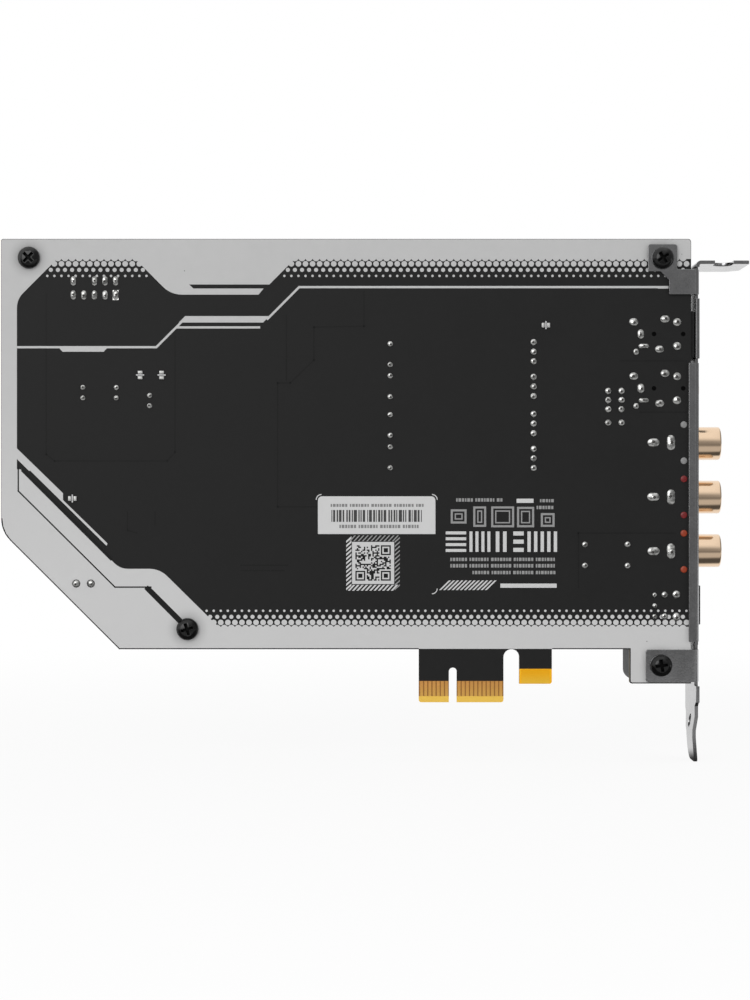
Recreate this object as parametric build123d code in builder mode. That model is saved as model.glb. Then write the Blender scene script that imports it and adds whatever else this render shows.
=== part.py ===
# Sound card for a computer's expansion slot: board, folded bracket, ports, cover and the parts inside.
# Origin: middle of the key notch, on the seating edge of the edge connector, in the board's middle plane.
# X runs towards the bracket, Y towards the component side, Z up and out of the slot. All sizes in mm.
import os
from build123d import *

os.makedirs("parts", exist_ok=True)

# Shared fits, and the sides of rounds that are small or out of sight
slip = 0.05
print_thickness = 0.05
few_sides = 8
some_sides = 12
many_sides = 20

# Bracket plate and top tab, which the board and the ports are set out from
sheet = 0.86
plate_outer = 59.05
plate_inner = plate_outer - sheet
plate_middle = plate_outer - sheet / 2
tab_top = 105.9
port_gap = 0.1
port_front = plate_inner - port_gap

# Board outline
board_thickness = 1.6
half_board = board_thickness / 2
board_gap = 1.9
board_rise = 5.25
foot_width = 14.75
board_left = -108.3
board_right = plate_outer - board_gap
board_top = tab_top + board_rise
board_bottom = 12.75
corner_cut_z = 41.0
corner_cut_x = -80.0
corner_cut_radius = 7.35
foot_left = board_right - foot_width
foot_bottom = 4.55

# Edge connector
tongue_left = -8.15
tongue_right = 12.15
hook_left = 15.95
hook_right = 23.75
hook_bottom = 4.46
key_width = 1.9
key_top = 8.34
bevel_height = 1.5
bevel_depth = 0.35
contact_pitch = 1.0
contact_width = 0.7
contact_top = 5.1
hook_pad_top = 8.0
contact_thickness = 0.04
first_contact = 1.5
contacts_right = 11
contacts_left = 7

# Ports, in one row on the bracket
port_pitch = 13.03
port_row_middle = 55.775
port_y = 7.3
jack_z = [port_row_middle + port_pitch * n for n in (2.5, 1.5)]
phono_z = [port_row_middle + port_pitch * n for n in (0.5, -0.5, -1.5)]
optical_z = port_row_middle - port_pitch * 2.5

# Bracket
bracket_width = 18.42
ear_seat = half_board + print_thickness
ear_outer = ear_seat + sheet
ear_middle = ear_seat + sheet / 2
near_edge = -ear_outer
far_edge = near_edge + bracket_width
small_bend = 0.83
large_bend = 1.45
bend_overlap = 0.3
relief_height = 1.0
relief_depth = 1.0
top_ear_drop = 2.6
top_ear_neck = tab_top - top_ear_drop
top_ear_height = 6.5
top_ear_top = top_ear_neck + top_ear_height
top_ear_step = 0.5
top_ear_high = top_ear_neck + top_ear_step
top_ear_root_height = 6.0
top_ear_low = top_ear_high - top_ear_root_height
top_ear_root_reach = 7.25
top_ear_root = plate_outer - top_ear_root_reach
top_ear_reach = 12.3
top_ear_left = plate_outer - top_ear_reach
top_ear_width = 6.95
top_ear_right = top_ear_left + top_ear_width
top_ear_slope = 2.1
top_ear_shoulder = 3.0
bottom_ear_low = 4.95
bottom_ear_high = 12.7
bottom_ear_reach = 12.85
bottom_ear_edge = plate_outer - bottom_ear_reach
lip_low = 14.6
lip_high = 81.4
lip_reach = 2.55
lip_edge = plate_outer - lip_reach
tab_middle = tab_top - sheet / 2
tab_length = 12.0
tab_end = plate_outer + tab_length
tab_notch_reach = 5.93
tab_notch_x = plate_outer + tab_notch_reach
tab_notch_width = 4.45
tab_notch_depth = 5.5
tab_corner_cut = 3.0
bracket_tongue_start = -1.0
bracket_tongue_tip = -14.45
bracket_tongue_width = 10.19
bracket_tongue_step = 2.36
bracket_tongue_near = near_edge + bracket_tongue_step
bracket_tongue_far = bracket_tongue_near + bracket_tongue_width
bracket_tongue_shoulder = -2.6
bracket_tongue_neck = -8.0
bracket_tongue_round = (1.0, 3.6)
bracket_tongue_hole_z = -5.1
bracket_tongue_hole_radius = 1.65
crank_start = -3.6
crank_end = -6.9
crank_depth = 0.55
flare_start = -8.6
flare_depth = 0.12

# Screws
screw_head_radius = 2.65
screw_head_height = 1.9
screw_shank_radius = 1.45
screw_reach = 6.5
screw_hole_radius = 1.65
recess_arm = 1.55
recess_width = 0.62
recess_depth = 1.1
head_top_radius = 1.6
head_rim = 0.8
cover_screw_inset = (6.7, 4.55)
lower_screw_at = (-63.6, 17.6)
cover_screws_at = [(board_left + cover_screw_inset[0], board_top - cover_screw_inset[1]), lower_screw_at]
bracket_screw_reach = (8.85, 9.25)
bracket_screw_rise = 3.15
bracket_screw_low = 8.95
bracket_screws_at = [
    (plate_outer - bracket_screw_reach[0], top_ear_neck + bracket_screw_rise),
    (plate_outer - bracket_screw_reach[1], bracket_screw_low),
]

# Front cover
cover_front = 15.2
cover_wall = 1.2
cover_face = 1.6
cover_edge_cut = 1.4
cover_corner = 2.5
cover_gap = 1.19
cover_right = plate_inner - cover_gap
boss_radius = 3.0
header_window_left = -95.0
header_window_right = -77.0
header_window_height = 18.65
header_window_low = board_top - header_window_height

# Phono jacks, with pegs and leads measured back from the front of the ports
phono_length = 11.49
phono_back = port_front - phono_length
phono_half_width = 5.2
phono_height = 12.5
phono_sleeve_radius = 4.0
phono_sleeve_wall = 0.75
phono_sleeve_back = plate_outer + port_gap
phono_reach = 6.1
phono_end = plate_outer + phono_reach
phono_core_inset = 1.2
phono_core_end = phono_end - phono_core_inset
phono_bore = 1.65
phono_contact_wall = 0.45
phono_contact_inset = 0.6
phono_contact_length = 9.8
phono_contact_back = phono_core_end - phono_contact_inset - phono_contact_length
phono_peg_back = 2.69
phono_peg_x = port_front - phono_peg_back
phono_peg_offset = 4.33
phono_peg_radius = 0.66
phono_clear_radius = 3.6
phono_leads = [(9.96, 0.0, 3.05, 2.15), (5.74, 0.0, 2.1, 3.8)]

# Jacks for 3.5 mm plugs
jack_length = 15.49
jack_back = port_front - jack_length
jack_half_width = 5.6
jack_height = 12.6
jack_bore = 1.8
jack_back_wall = 2.0
jack_bore_end = jack_back + jack_back_wall
jack_nose_radius = 3.0
jack_nose_reach = 0.8
jack_nose_end = plate_outer + jack_nose_reach
jack_nose_clear = 0.3
jack_clear_radius = 3.3
jack_peg_back = [9.84, 2.84]
jack_peg_x = [port_front - back for back in jack_peg_back]
jack_peg_radius = 0.48
jack_leads = [
    (14.69, 2.9, 2.3, 1.95), (12.99, 0.0, 1.75, 2.4), (12.29, -2.9, 2.6, 1.25), (14.14, -4.3, 1.5, 1.7),
    (7.19, 3.6, 2.3, 2.0), (4.29, 2.85, 2.15, 2.1), (8.49, -3.65, 2.3, 1.9), (4.29, -2.9, 2.15, 2.1),
]

# Optical port
optical_length = 11.89
optical_back = port_front - optical_length
optical_reach = 0.6
optical_front = plate_outer + optical_reach
optical_half = 4.75
optical_mouth = 2.8
optical_cavity = 3.0
optical_frame = 2.75
optical_depth = 10.6
shutter_thickness = 0.7
shutter_half = 2.88
shutter_pin_radius = 0.35
shutter_pin_length = 0.7
shutter_hinge_rise = 2.5
shutter_hinge_z = optical_z + shutter_hinge_rise
shutter_set_back = 0.45
shutter_x = optical_front - optical_frame - shutter_set_back
emitter_half = 2.4
emitter_length = 1.4
lens_radius = 1.2
lens_height = 0.5
optical_leads = [
    (9.69, 2.55, 1.35, 1.35), (9.69, 0.0, 1.35, 1.35), (9.69, -2.55, 1.35, 1.35),
    (7.29, 2.6, 1.7, 1.7), (7.29, -2.6, 1.7, 1.7), (4.44, 2.65, 2.1, 2.1), (4.44, -2.65, 2.1, 2.1),
]

# Parts with leads through the board: places of their middles
film_x = -15.0
film_z = [83.5, 75.8, 66.5, 58.75]
film_pitch = 5.0
film_size = (5.0, 7.2, 9.5)
transistor_x = 19.4
transistor_z = [84.1, 75.75, 66.85, 58.5]
transistor_pitch = 2.3
transistor_size = (2.7, 7.6, 10.6)
relay_gap = 3.73
relay_at = (jack_back - relay_gap, 70.9)
relay_column = 1.6
relay_rows = [3.8, 1.6, -0.6, -3.8]
relay_size = (6.5, 10.0, 5.2)
transformer_gap = 9.8
transformer_at = (phono_back - transformer_gap, 35.3)
transformer_pitch = (10.2, 5.08)
transformer_size = (12.6, 9.0, 6.0)
small_cap_at = [(-88.7, 74.25), (-80.7, 74.25), (-72.7, 72.35)]
small_cap_pitch = 2.5
small_cap_radius = 3.15
small_cap_height = 8.0
large_cap_at = (-88.55, 28.5)
large_cap_pitch = 3.5
large_cap_radius = 3.7
large_cap_height = 11.5
header_drop = 11.79
header_at = (-85.93, board_top - header_drop)
header_pitch = 2.54
header_columns = 5
header_base_height = 2.54
header_pin_top = 9.2
header_missing = 1
pin_side = 0.64
header_pad = (1.45, 2.4)
header_pad_shift = 0.42
chip_part_size = (2.0, 1.1, 0.5)
chip_parts_at = [(22.3, 90.45, 0), (-91.2, 48.9, 0), (-74.95, 78.5, 90), (-69.8, 78.5, 90)]

# Solder
solder_height = 0.6

# Planes that the sketches lie on
solder_face = Plane.XZ.offset(half_board)
component_face = Plane.XZ.offset(-half_board)


def both_ways(middle, pitch):
    return [middle - pitch / 2, middle + pitch / 2]


# Lead patterns seen on the solder side: each entry is one joint with its place and its size
film_joints = [(film_x, z, 1.5, 1.5) for m in film_z for z in both_ways(m, film_pitch)]
transistor_joints = [
    (transistor_x, m + step * transistor_pitch, 1.7, 1.7) for m in transistor_z for step in (1, 0, -1)
]
relay_joints = [
    (relay_at[0] + side * relay_column, relay_at[1] + row, 1.7, 1.7) for side in (-1, 1) for row in relay_rows
]
transformer_joints = [
    (x, z, 1.6, 1.6)
    for x in both_ways(transformer_at[0], transformer_pitch[0])
    for z in both_ways(transformer_at[1], transformer_pitch[1])
]
small_cap_joints = [(x, z, 1.45, 1.45) for x, m in small_cap_at for z in both_ways(m, small_cap_pitch)]
large_cap_joints = [(x, large_cap_at[1], 1.7, 1.7) for x in both_ways(large_cap_at[0], large_cap_pitch)]
header_places = [
    (header_at[0] + (column - (header_columns - 1) / 2) * header_pitch, side)
    for side in (1, -1) for column in range(header_columns) if (side, column) != (1, header_missing)
]
header_pins_at = [(x, header_at[1] + side * header_pitch / 2) for x, side in header_places]
header_joints = [
    (x, header_at[1] + side * (header_pitch / 2 + header_pad_shift), *header_pad) for x, side in header_places
]


def port_joints(pattern, z):
    return [(port_front - back, z + shift, wide, high) for back, shift, wide, high in pattern]


all_joints = film_joints + transistor_joints + relay_joints + transformer_joints + small_cap_joints
all_joints = all_joints + large_cap_joints + header_joints + port_joints(optical_leads, optical_z)
for z in jack_z:
    all_joints = all_joints + port_joints(jack_leads, z)
for z in phono_z:
    all_joints = all_joints + port_joints(phono_leads, z)


def draw_slot(x, width, top, bottom):
    with Locations((x, top - width / 2)):
        Circle(width / 2, mode=Mode.SUBTRACT)
    with Locations((x, (top - width / 2 + bottom) / 2)):
        Rectangle(width, top - width / 2 - bottom, mode=Mode.SUBTRACT)


def draw_pad(x, z, wide, high):
    a = wide / 2
    b = high / 2
    point = 0.45 * min(a, b)
    with Locations((x, z)):
        Polygon((a, 0), (a - point, b), (point - a, b), (-a, 0), (point - a, -b), (a - point, -b))


# Circuit board: glass-epoxy sheet with the edge connector's tongue, the hook and the holes for screws and pegs
with BuildPart() as circuit_board:
    with BuildSketch(solder_face):
        with BuildLine():
            FilletPolyline(
                (board_left, board_top), (board_left, corner_cut_z), (corner_cut_x, board_bottom),
                (foot_left, board_bottom), (foot_left, foot_bottom), (board_right, foot_bottom),
                (board_right, board_top),
                radius=[0.5, corner_cut_radius, 0, 0, 0.5, 0, 0.75], close=True,
            )
        make_face()
        with BuildLine():
            FilletPolyline(
                (tongue_left, board_bottom + 1), (tongue_left, 0), (tongue_right, 0),
                (tongue_right, hook_bottom), (hook_right, hook_bottom), (hook_right, board_bottom + 1),
                radius=[0, 0.6, 0.6, 0, 0.6, 0], close=True,
            )
        make_face()
        draw_slot(0, key_width, key_top, -1)
        draw_slot((tongue_right + hook_left) / 2, hook_left - tongue_right, board_bottom, -1)
        with Locations(*(cover_screws_at + bracket_screws_at)):
            RegularPolygon(screw_hole_radius, few_sides, mode=Mode.SUBTRACT)
        for z in phono_z:
            with Locations((phono_peg_x, z + phono_peg_offset), (phono_peg_x, z - phono_peg_offset)):
                RegularPolygon(phono_peg_radius + slip, few_sides, mode=Mode.SUBTRACT)
        for z in jack_z:
            with Locations((jack_peg_x[0], z), (jack_peg_x[1], z)):
                RegularPolygon(jack_peg_radius + slip, few_sides, mode=Mode.SUBTRACT)
    extrude(amount=-board_thickness)
    for face_side in (-1, 1):
        with BuildSketch(Plane.YZ.offset(tongue_left - 1)):
            with BuildLine():
                Polyline(
                    (face_side * (half_board + 0.1), -0.1), (face_side * (half_board - bevel_depth), 0),
                    (face_side * half_board, bevel_height), (face_side * (half_board + 0.1), bevel_height),
                    close=True,
                )
            make_face()
        extrude(amount=tongue_right - tongue_left + 2, mode=Mode.SUBTRACT)
circuit_board.part.label = "circuit_board"
export_step(circuit_board.part, "parts/circuit_board.step")

# Contact pads of the edge connector on both faces, with the pad on the hook
contact_places = [first_contact + contact_pitch * n for n in range(contacts_right)]
contact_places = contact_places + [-first_contact - contact_pitch * n for n in range(contacts_left)]
with BuildPart() as edge_contacts:
    for face_plane, direction in ((solder_face, 1), (component_face, -1)):
        with BuildSketch(face_plane):
            with Locations(*[(x, (bevel_height + contact_top) / 2) for x in contact_places]):
                Rectangle(contact_width, contact_top - bevel_height)
            with Locations(((hook_left + hook_right) / 2, (hook_bottom + hook_pad_top) / 2)):
                Rectangle(hook_right - hook_left - 1.0, hook_pad_top - hook_bottom - 0.1)
        extrude(amount=direction * contact_thickness)
edge_contacts.part.label = "edge_contacts"
export_step(edge_contacts.part, "parts/edge_contacts.step")

# Printed fields: grey border with angular corners, and the grey lines on the black field
ink_inset = 0.1
field_left = board_left + 3.77
field_top = board_top - 4.82
field_bottom = 18.15
tab_low = board_top - 13.36
tab_slot_low = board_top - 11.89
tab_slot_high = board_top - 10.93
line_width = 0.53
upper_line_z = board_top - 11.56
upper_line_end = board_right - 6.65
left_line_z = board_top - 25.97
lower_line_z = board_top - 21.22
bar_top = board_top - 18.51
bar_bottom = board_top - 20.05
clear_of_joints = 1.25
fine_line_width = 0.25
wide_line_width = 1.2
board_corners = [0.5, 0.5, 0.4, 0.75]
tab_x = [-67.62, -46.59, -45.37, -62.21, -63.24, -44.0, -37.9]
dot_field_x = [-94.92, -76.16]
dot_field_drop = 9.64
low_field = [(-70.3, 32.04), (-79.8, 32.04), (-103.7, 55.9)]
low_field_right = -56.2
left_edge_z = [55.9, 58.39, 60.91]
slash_field = [(-83.14, 37.31), (-82.81, 38.13), (-93.48, 48.54), (-93.48, 50.17)]
field_radii = [5, 6.4, 6, 4.4]
fine_line_points = [(-104.2, 55.9), (-104.2, 50.7), (-81.0, 27.65), (-73.6, 27.65)]
left_line_x = [-71.1, -64.2]
left_line_rise = 6.92
right_line_x = [-44.6, -36.86]
right_line_rise = 7.79
lower_line_x = [-66.5, -46.2]
bar_x = [-64.2, -44.0, -45.5, -65.7]
notch_x = [-94.4, -82.9, -83.7, -93.6]
notch_drop = [0.18, 1.08]
beyond_edge = 1.0
with BuildPart() as printed_border:
    with BuildSketch(solder_face):
        with BuildLine():
            FilletPolyline(
                (board_left + ink_inset, board_top - ink_inset), (board_left + ink_inset, corner_cut_z),
                (corner_cut_x, board_bottom + ink_inset), (foot_left + ink_inset, board_bottom + ink_inset),
                (foot_left + ink_inset, foot_bottom + ink_inset),
                (board_right - ink_inset, foot_bottom + ink_inset), (board_right - ink_inset, board_top - ink_inset),
                radius=[board_corners[0], corner_cut_radius, 0, 0, *board_corners[1:]], close=True,
            )
        make_face()
        with BuildLine():
            FilletPolyline(
                (field_left, field_top - dot_field_drop), (dot_field_x[0], field_top), (dot_field_x[1], field_top),
                (tab_x[0], tab_low), (tab_x[1], tab_low), (tab_x[2], tab_slot_low), (tab_x[3], tab_slot_low),
                (tab_x[4], tab_slot_high), (tab_x[5], tab_slot_high), (tab_x[6], field_top),
                (board_right + beyond_edge, field_top), (board_right + beyond_edge, field_bottom),
                (low_field_right, field_bottom), *low_field, (field_left, left_edge_z[0]),
                (field_left, left_edge_z[1]), *slash_field, (field_left, left_edge_z[2]),
                radius=[
                    field_radii[0], 0, 0, field_radii[1], 0, 0, 0, 0, 0, 0, 0, 0, 0,
                    field_radii[2], field_radii[3], 0, 0, 0, 0, 0, 0, 0, 0,
                ],
                close=True,
            )
        make_face(mode=Mode.SUBTRACT)
        with BuildLine() as fine_line:
            Polyline(*fine_line_points)
        trace(fine_line.line, line_width=fine_line_width, mode=Mode.SUBTRACT)
        with BuildLine() as slot_line:
            Polyline(fine_line_points[-1], lower_screw_at)
        trace(slot_line.line, line_width=wide_line_width, mode=Mode.SUBTRACT)
        with Locations(*[(joint[0], joint[1]) for joint in large_cap_joints]):
            RegularPolygon(clear_of_joints, some_sides, mode=Mode.SUBTRACT)
        with Locations(*(cover_screws_at + bracket_screws_at)):
            RegularPolygon(screw_hole_radius, few_sides, mode=Mode.SUBTRACT)
    extrude(amount=print_thickness)
    with BuildSketch(solder_face):
        with BuildLine() as left_line:
            Polyline(
                (field_left, left_line_z), (left_line_x[0], left_line_z),
                (left_line_x[1], left_line_z + left_line_rise),
            )
        trace(left_line.line, line_width=line_width)
        with BuildLine() as right_line:
            Polyline(
                (right_line_x[0], upper_line_z - right_line_rise), (right_line_x[1], upper_line_z),
                (upper_line_end, upper_line_z),
            )
        trace(right_line.line, line_width=line_width)
        with BuildLine() as lower_line:
            Polyline(*[(x, lower_line_z) for x in lower_line_x])
        trace(lower_line.line, line_width=line_width)
        with BuildLine():
            Polyline(*zip(bar_x, (bar_top, bar_top, bar_bottom, bar_bottom)), close=True)
        make_face()
        with BuildLine():
            Polyline(
                *zip(notch_x, [left_line_z - notch_drop[step] for step in (0, 0, 1, 1)]), close=True,
            )
        make_face()
    extrude(amount=print_thickness)
printed_border.part.label = "printed_border"
export_step(printed_border.part, "parts/printed_border.step")

# Paper sticker, square below and rounded above
sticker_left = -32.35
sticker_right = -4.17
sticker_low = 40.38
sticker_high = 49.42
sticker_radius = 1.0
sticker_thickness = 0.1
with BuildPart() as serial_sticker:
    with BuildSketch(solder_face):
        with BuildLine():
            FilletPolyline(
                (sticker_left, sticker_low), (sticker_right, sticker_low),
                (sticker_right, sticker_high), (sticker_left, sticker_high),
                radius=[0, 0, sticker_radius, sticker_radius], close=True,
            )
        make_face()
    extrude(amount=sticker_thickness)
serial_sticker.part.label = "serial_sticker"
export_step(serial_sticker.part, "parts/serial_sticker.step")

# Solder joints: a low mound over the end of every lead, eight-sided to keep the faces few
with BuildPart() as solder_joints:
    with BuildSketch(solder_face):
        for joint in all_joints:
            draw_pad(*joint)
    extrude(amount=solder_height)
solder_joints.part.label = "solder_joints"
export_step(solder_joints.part, "parts/solder_joints.step")

# Small chip parts soldered to the solder side
with BuildPart() as chip_parts:
    with BuildSketch(solder_face):
        for x, z, turn in chip_parts_at:
            with Locations((x, z)):
                Rectangle(chip_part_size[0], chip_part_size[1], rotation=turn)
    extrude(amount=chip_part_size[2])
chip_parts.part.label = "chip_parts"
export_step(chip_parts.part, "parts/chip_parts.step")

# Bracket: one steel sheet with folded ears, lip and top tab, and a cranked tongue
plate_top = tab_middle - small_bend
bracket_middle = (near_edge + far_edge) / 2
flanges = (
    (top_ear_low, top_ear_high, top_ear_root, small_bend),
    (lip_low, lip_high, lip_edge, small_bend),
    (bottom_ear_low, bottom_ear_high, bottom_ear_edge, large_bend),
)
with BuildPart() as slot_bracket:
    with BuildSketch(Plane.YZ.offset(plate_inner)):
        with Locations((bracket_middle, (plate_top + bracket_tongue_start) / 2)):
            Rectangle(bracket_width, plate_top - bracket_tongue_start)
        for low, high, edge, bend in flanges:
            fold_line = bend - ear_middle
            with Locations((fold_line, (low + high) / 2)):
                Rectangle(8, high - low, align=(Align.MAX, Align.CENTER), mode=Mode.SUBTRACT)
            with Locations((fold_line + relief_depth, low), (fold_line + relief_depth, high)):
                Rectangle(8, 2 * relief_height, align=(Align.MAX, Align.CENTER), mode=Mode.SUBTRACT)
        for z in jack_z:
            with Locations((port_y, z)):
                RegularPolygon(jack_clear_radius, many_sides, mode=Mode.SUBTRACT)
        for z in phono_z:
            with Locations((port_y, z)):
                RegularPolygon(phono_clear_radius, some_sides, mode=Mode.SUBTRACT)
        with Locations((port_y, optical_z)):
            Rectangle(2 * optical_half + 0.3, 2 * optical_half + 0.3, mode=Mode.SUBTRACT)
    extrude(amount=sheet)
    for low, high, edge, bend in flanges:
        with BuildSketch(Plane.XY.offset(low)):
            with BuildLine() as fold:
                FilletPolyline(
                    (edge, -ear_middle), (plate_middle, -ear_middle),
                    (plate_middle, bend - ear_middle + bend_overlap), radius=bend,
                )
            trace(fold.line, line_width=sheet)
        extrude(amount=high - low)
    with BuildSketch(Plane.XZ.offset(ear_seat)):
        with BuildLine():
            FilletPolyline(
                (top_ear_left, top_ear_neck), (top_ear_left + top_ear_shoulder, top_ear_neck),
                (top_ear_root, top_ear_neck - top_ear_slope), (top_ear_right, top_ear_neck - top_ear_slope),
                (top_ear_right, top_ear_top), (top_ear_left, top_ear_top),
                radius=[0, 0, 0, 0, 0.6, 0.6], close=True,
            )
        make_face()
    extrude(amount=sheet)
    with BuildSketch(Plane.XZ.offset(ear_seat)):
        with Locations(*bracket_screws_at):
            RegularPolygon(screw_hole_radius, few_sides)
    extrude(amount=sheet, mode=Mode.SUBTRACT)
    fillet(slot_bracket.edges().filter_by(Axis.Y).group_by(Axis.X)[0], 0.6)
    with BuildSketch(Plane.XZ.offset(-far_edge)):
        with BuildLine() as tab_path:
            FilletPolyline(
                (plate_middle, plate_top - bend_overlap), (plate_middle, tab_middle), (tab_end, tab_middle),
                radius=small_bend,
            )
        trace(tab_path.line, line_width=sheet)
        with BuildLine() as tongue_path:
            Polyline(
                (plate_middle, bracket_tongue_start + bend_overlap), (plate_middle, crank_start),
                (plate_middle - crank_depth, crank_end), (plate_middle - crank_depth, flare_start),
                (plate_middle - flare_depth, bracket_tongue_tip),
            )
        trace(tongue_path.line, line_width=sheet)
    extrude(amount=bracket_width)
    tab_corners = slot_bracket.edges().filter_by(Axis.Z).group_by(Axis.X)[-1].sort_by(Axis.Y)
    chamfer(tab_corners[-1], tab_corner_cut)
    tab_corners = slot_bracket.edges().filter_by(Axis.Z).group_by(Axis.X)[-1].sort_by(Axis.Y)
    fillet(tab_corners[0], 0.8)
    with BuildSketch(Plane.XY.offset(tab_top)):
        notch_round = near_edge + tab_notch_depth - tab_notch_width / 2
        with Locations((tab_notch_x, notch_round)):
            Circle(tab_notch_width / 2)
            Rectangle(tab_notch_width, tab_notch_depth + 1, align=(Align.CENTER, Align.MAX))
    extrude(amount=-2 * sheet, mode=Mode.SUBTRACT)
    with BuildSketch(Plane.YZ.offset(plate_inner - 3)):
        with Locations((bracket_middle, 0)):
            Rectangle(bracket_width + 4, 4 - bracket_tongue_tip, align=(Align.CENTER, Align.MAX))
        with BuildLine():
            FilletPolyline(
                (near_edge, 1), (near_edge, 0.5), (bracket_tongue_near, bracket_tongue_start),
                (bracket_tongue_near, bracket_tongue_tip), (bracket_tongue_far, bracket_tongue_tip),
                (bracket_tongue_far, bracket_tongue_neck), (far_edge, bracket_tongue_shoulder), (far_edge, 1),
                radius=[0, 0, 0, *bracket_tongue_round, 0, 0, 0], close=True,
            )
        make_face(mode=Mode.SUBTRACT)
        with Locations((bracket_middle, bracket_tongue_hole_z)):
            Circle(bracket_tongue_hole_radius)
    extrude(amount=6, mode=Mode.SUBTRACT)
slot_bracket.part.label = "slot_bracket"
export_step(slot_bracket.part, "parts/slot_bracket.step")

# Screws: pan heads with a cross recess on the solder side, shanks into the cover's bosses
cover_turns = (45, 18)
bracket_turns = (34, 8)
screw_sets = (
    ("cover_screws", cover_screws_at, cover_turns, ear_seat),
    ("bracket_screws", bracket_screws_at, bracket_turns, ear_outer),
)
for screw_name, places, turns, seat in screw_sets:
    with BuildPart() as screws:
        for (x, z), turn in zip(places, turns):
            with BuildSketch(Plane.XZ.offset(seat)):
                with Locations((x, z)):
                    RegularPolygon(screw_head_radius, many_sides)
            extrude(amount=head_rim)
            with BuildSketch(Plane.XZ.offset(seat + head_rim)):
                with Locations((x, z)):
                    RegularPolygon(screw_head_radius, many_sides)
            with BuildSketch(Plane.XZ.offset(seat + screw_head_height)):
                with Locations((x, z)):
                    RegularPolygon(head_top_radius, many_sides)
            loft()
            with BuildSketch(Plane.XZ.offset(seat + screw_head_height)):
                with Locations((x, z)):
                    Rectangle(2 * recess_arm, recess_width, rotation=turn)
                    Rectangle(recess_width, 2 * recess_arm, rotation=turn)
            extrude(amount=-recess_depth, mode=Mode.SUBTRACT)
            with BuildSketch(Plane.XZ.offset(seat)):
                with Locations((x, z)):
                    RegularPolygon(screw_shank_radius, few_sides)
            extrude(amount=-seat - screw_reach)
    screws.part.label = screw_name
    export_step(screws.part, "parts/" + screw_name + ".step")


# Front cover: tray over the component side, open towards the bracket, with a bay for the header
def cover_outline():
    FilletPolyline(
        (board_left, board_top), (board_left, corner_cut_z), (corner_cut_x, board_bottom), (foot_left, board_bottom),
        (foot_left, foot_bottom), (cover_right, foot_bottom), (cover_right, board_top),
        (header_window_right, board_top), (header_window_right, header_window_low),
        (header_window_left, header_window_low), (header_window_left, board_top),
        radius=[0, corner_cut_radius, 0, 0, cover_corner, 0, 0, 0, 0, 0, 0], close=True,
    )


cover_inside = cover_front - cover_face - half_board
with BuildPart() as front_cover:
    with BuildSketch(component_face):
        with BuildLine():
            cover_outline()
        make_face()
    extrude(amount=half_board - cover_front)
    front_edges = front_cover.faces().sort_by(Axis.Y)[-1].edges().sort_by(Axis.X)[:-1]
    chamfer(front_edges, cover_edge_cut)
    with BuildSketch(component_face):
        with BuildLine():
            cover_outline()
        make_face()
        offset(amount=-cover_wall)
        with Locations((cover_right + 1, (board_top + foot_bottom) / 2)):
            Rectangle(
                2 * cover_wall + 2, board_top - foot_bottom - 2 * cover_wall, align=(Align.MAX, Align.CENTER),
            )
    extrude(amount=-cover_inside, mode=Mode.SUBTRACT)
    with BuildSketch(component_face):
        with Locations(*(cover_screws_at + bracket_screws_at)):
            RegularPolygon(boss_radius, some_sides)
    extrude(amount=-cover_inside)
    with BuildSketch(component_face):
        with Locations(*(cover_screws_at + bracket_screws_at)):
            RegularPolygon(screw_shank_radius + slip, few_sides)
    extrude(amount=-screw_reach - 0.5, mode=Mode.SUBTRACT)
front_cover.part.label = "front_cover"
export_step(front_cover.part, "parts/front_cover.step")

# Phono jacks: moulded housing with two pegs, gold sleeve outside the bracket, square contact in the core
phono_core_radius = phono_sleeve_radius - phono_sleeve_wall - 2 * slip
phono_contact_side = 2 * (phono_bore + phono_contact_wall)
for phono_name, z in zip(("phono_left", "phono_right", "phono_digital"), phono_z):
    with BuildPart() as housing:
        with BuildSketch(component_face):
            with Locations((port_front, z)):
                Rectangle(port_front - phono_back, 2 * phono_half_width, align=(Align.MAX, Align.CENTER))
        extrude(amount=half_board - phono_height)
        with BuildSketch(Plane.YZ.offset(port_front)):
            with Locations((port_y, z)):
                RegularPolygon(phono_core_radius, many_sides)
        extrude(amount=phono_core_end - port_front)
        with BuildSketch(Plane.YZ.offset(phono_core_end)):
            with Locations((port_y, z)):
                Rectangle(phono_contact_side + 2 * slip, phono_contact_side + 2 * slip)
        extrude(amount=phono_contact_back - phono_core_end, mode=Mode.SUBTRACT)
        with BuildSketch(component_face):
            with Locations((phono_peg_x, z - phono_peg_offset), (phono_peg_x, z + phono_peg_offset)):
                RegularPolygon(phono_peg_radius, few_sides)
        extrude(amount=board_thickness + 0.1)
    housing.part.label = phono_name + "_housing"
    export_step(housing.part, "parts/" + phono_name + "_housing.step")

    with BuildPart() as sleeve:
        with BuildSketch(Plane.YZ.offset(phono_sleeve_back)):
            with Locations((port_y, z)):
                Circle(phono_sleeve_radius)
                RegularPolygon(phono_sleeve_radius - phono_sleeve_wall, many_sides, mode=Mode.SUBTRACT)
        extrude(amount=phono_end - phono_sleeve_back)
    sleeve.part.label = phono_name + "_sleeve"
    export_step(sleeve.part, "parts/" + phono_name + "_sleeve.step")

    with BuildPart() as contact:
        with BuildSketch(Plane.YZ.offset(phono_contact_back)):
            with Locations((port_y, z)):
                Rectangle(phono_contact_side, phono_contact_side)
                Circle(phono_bore, mode=Mode.SUBTRACT)
        extrude(amount=phono_contact_length)
    contact.part.label = phono_name + "_contact"
    export_step(contact.part, "parts/" + phono_name + "_contact.step")

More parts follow.
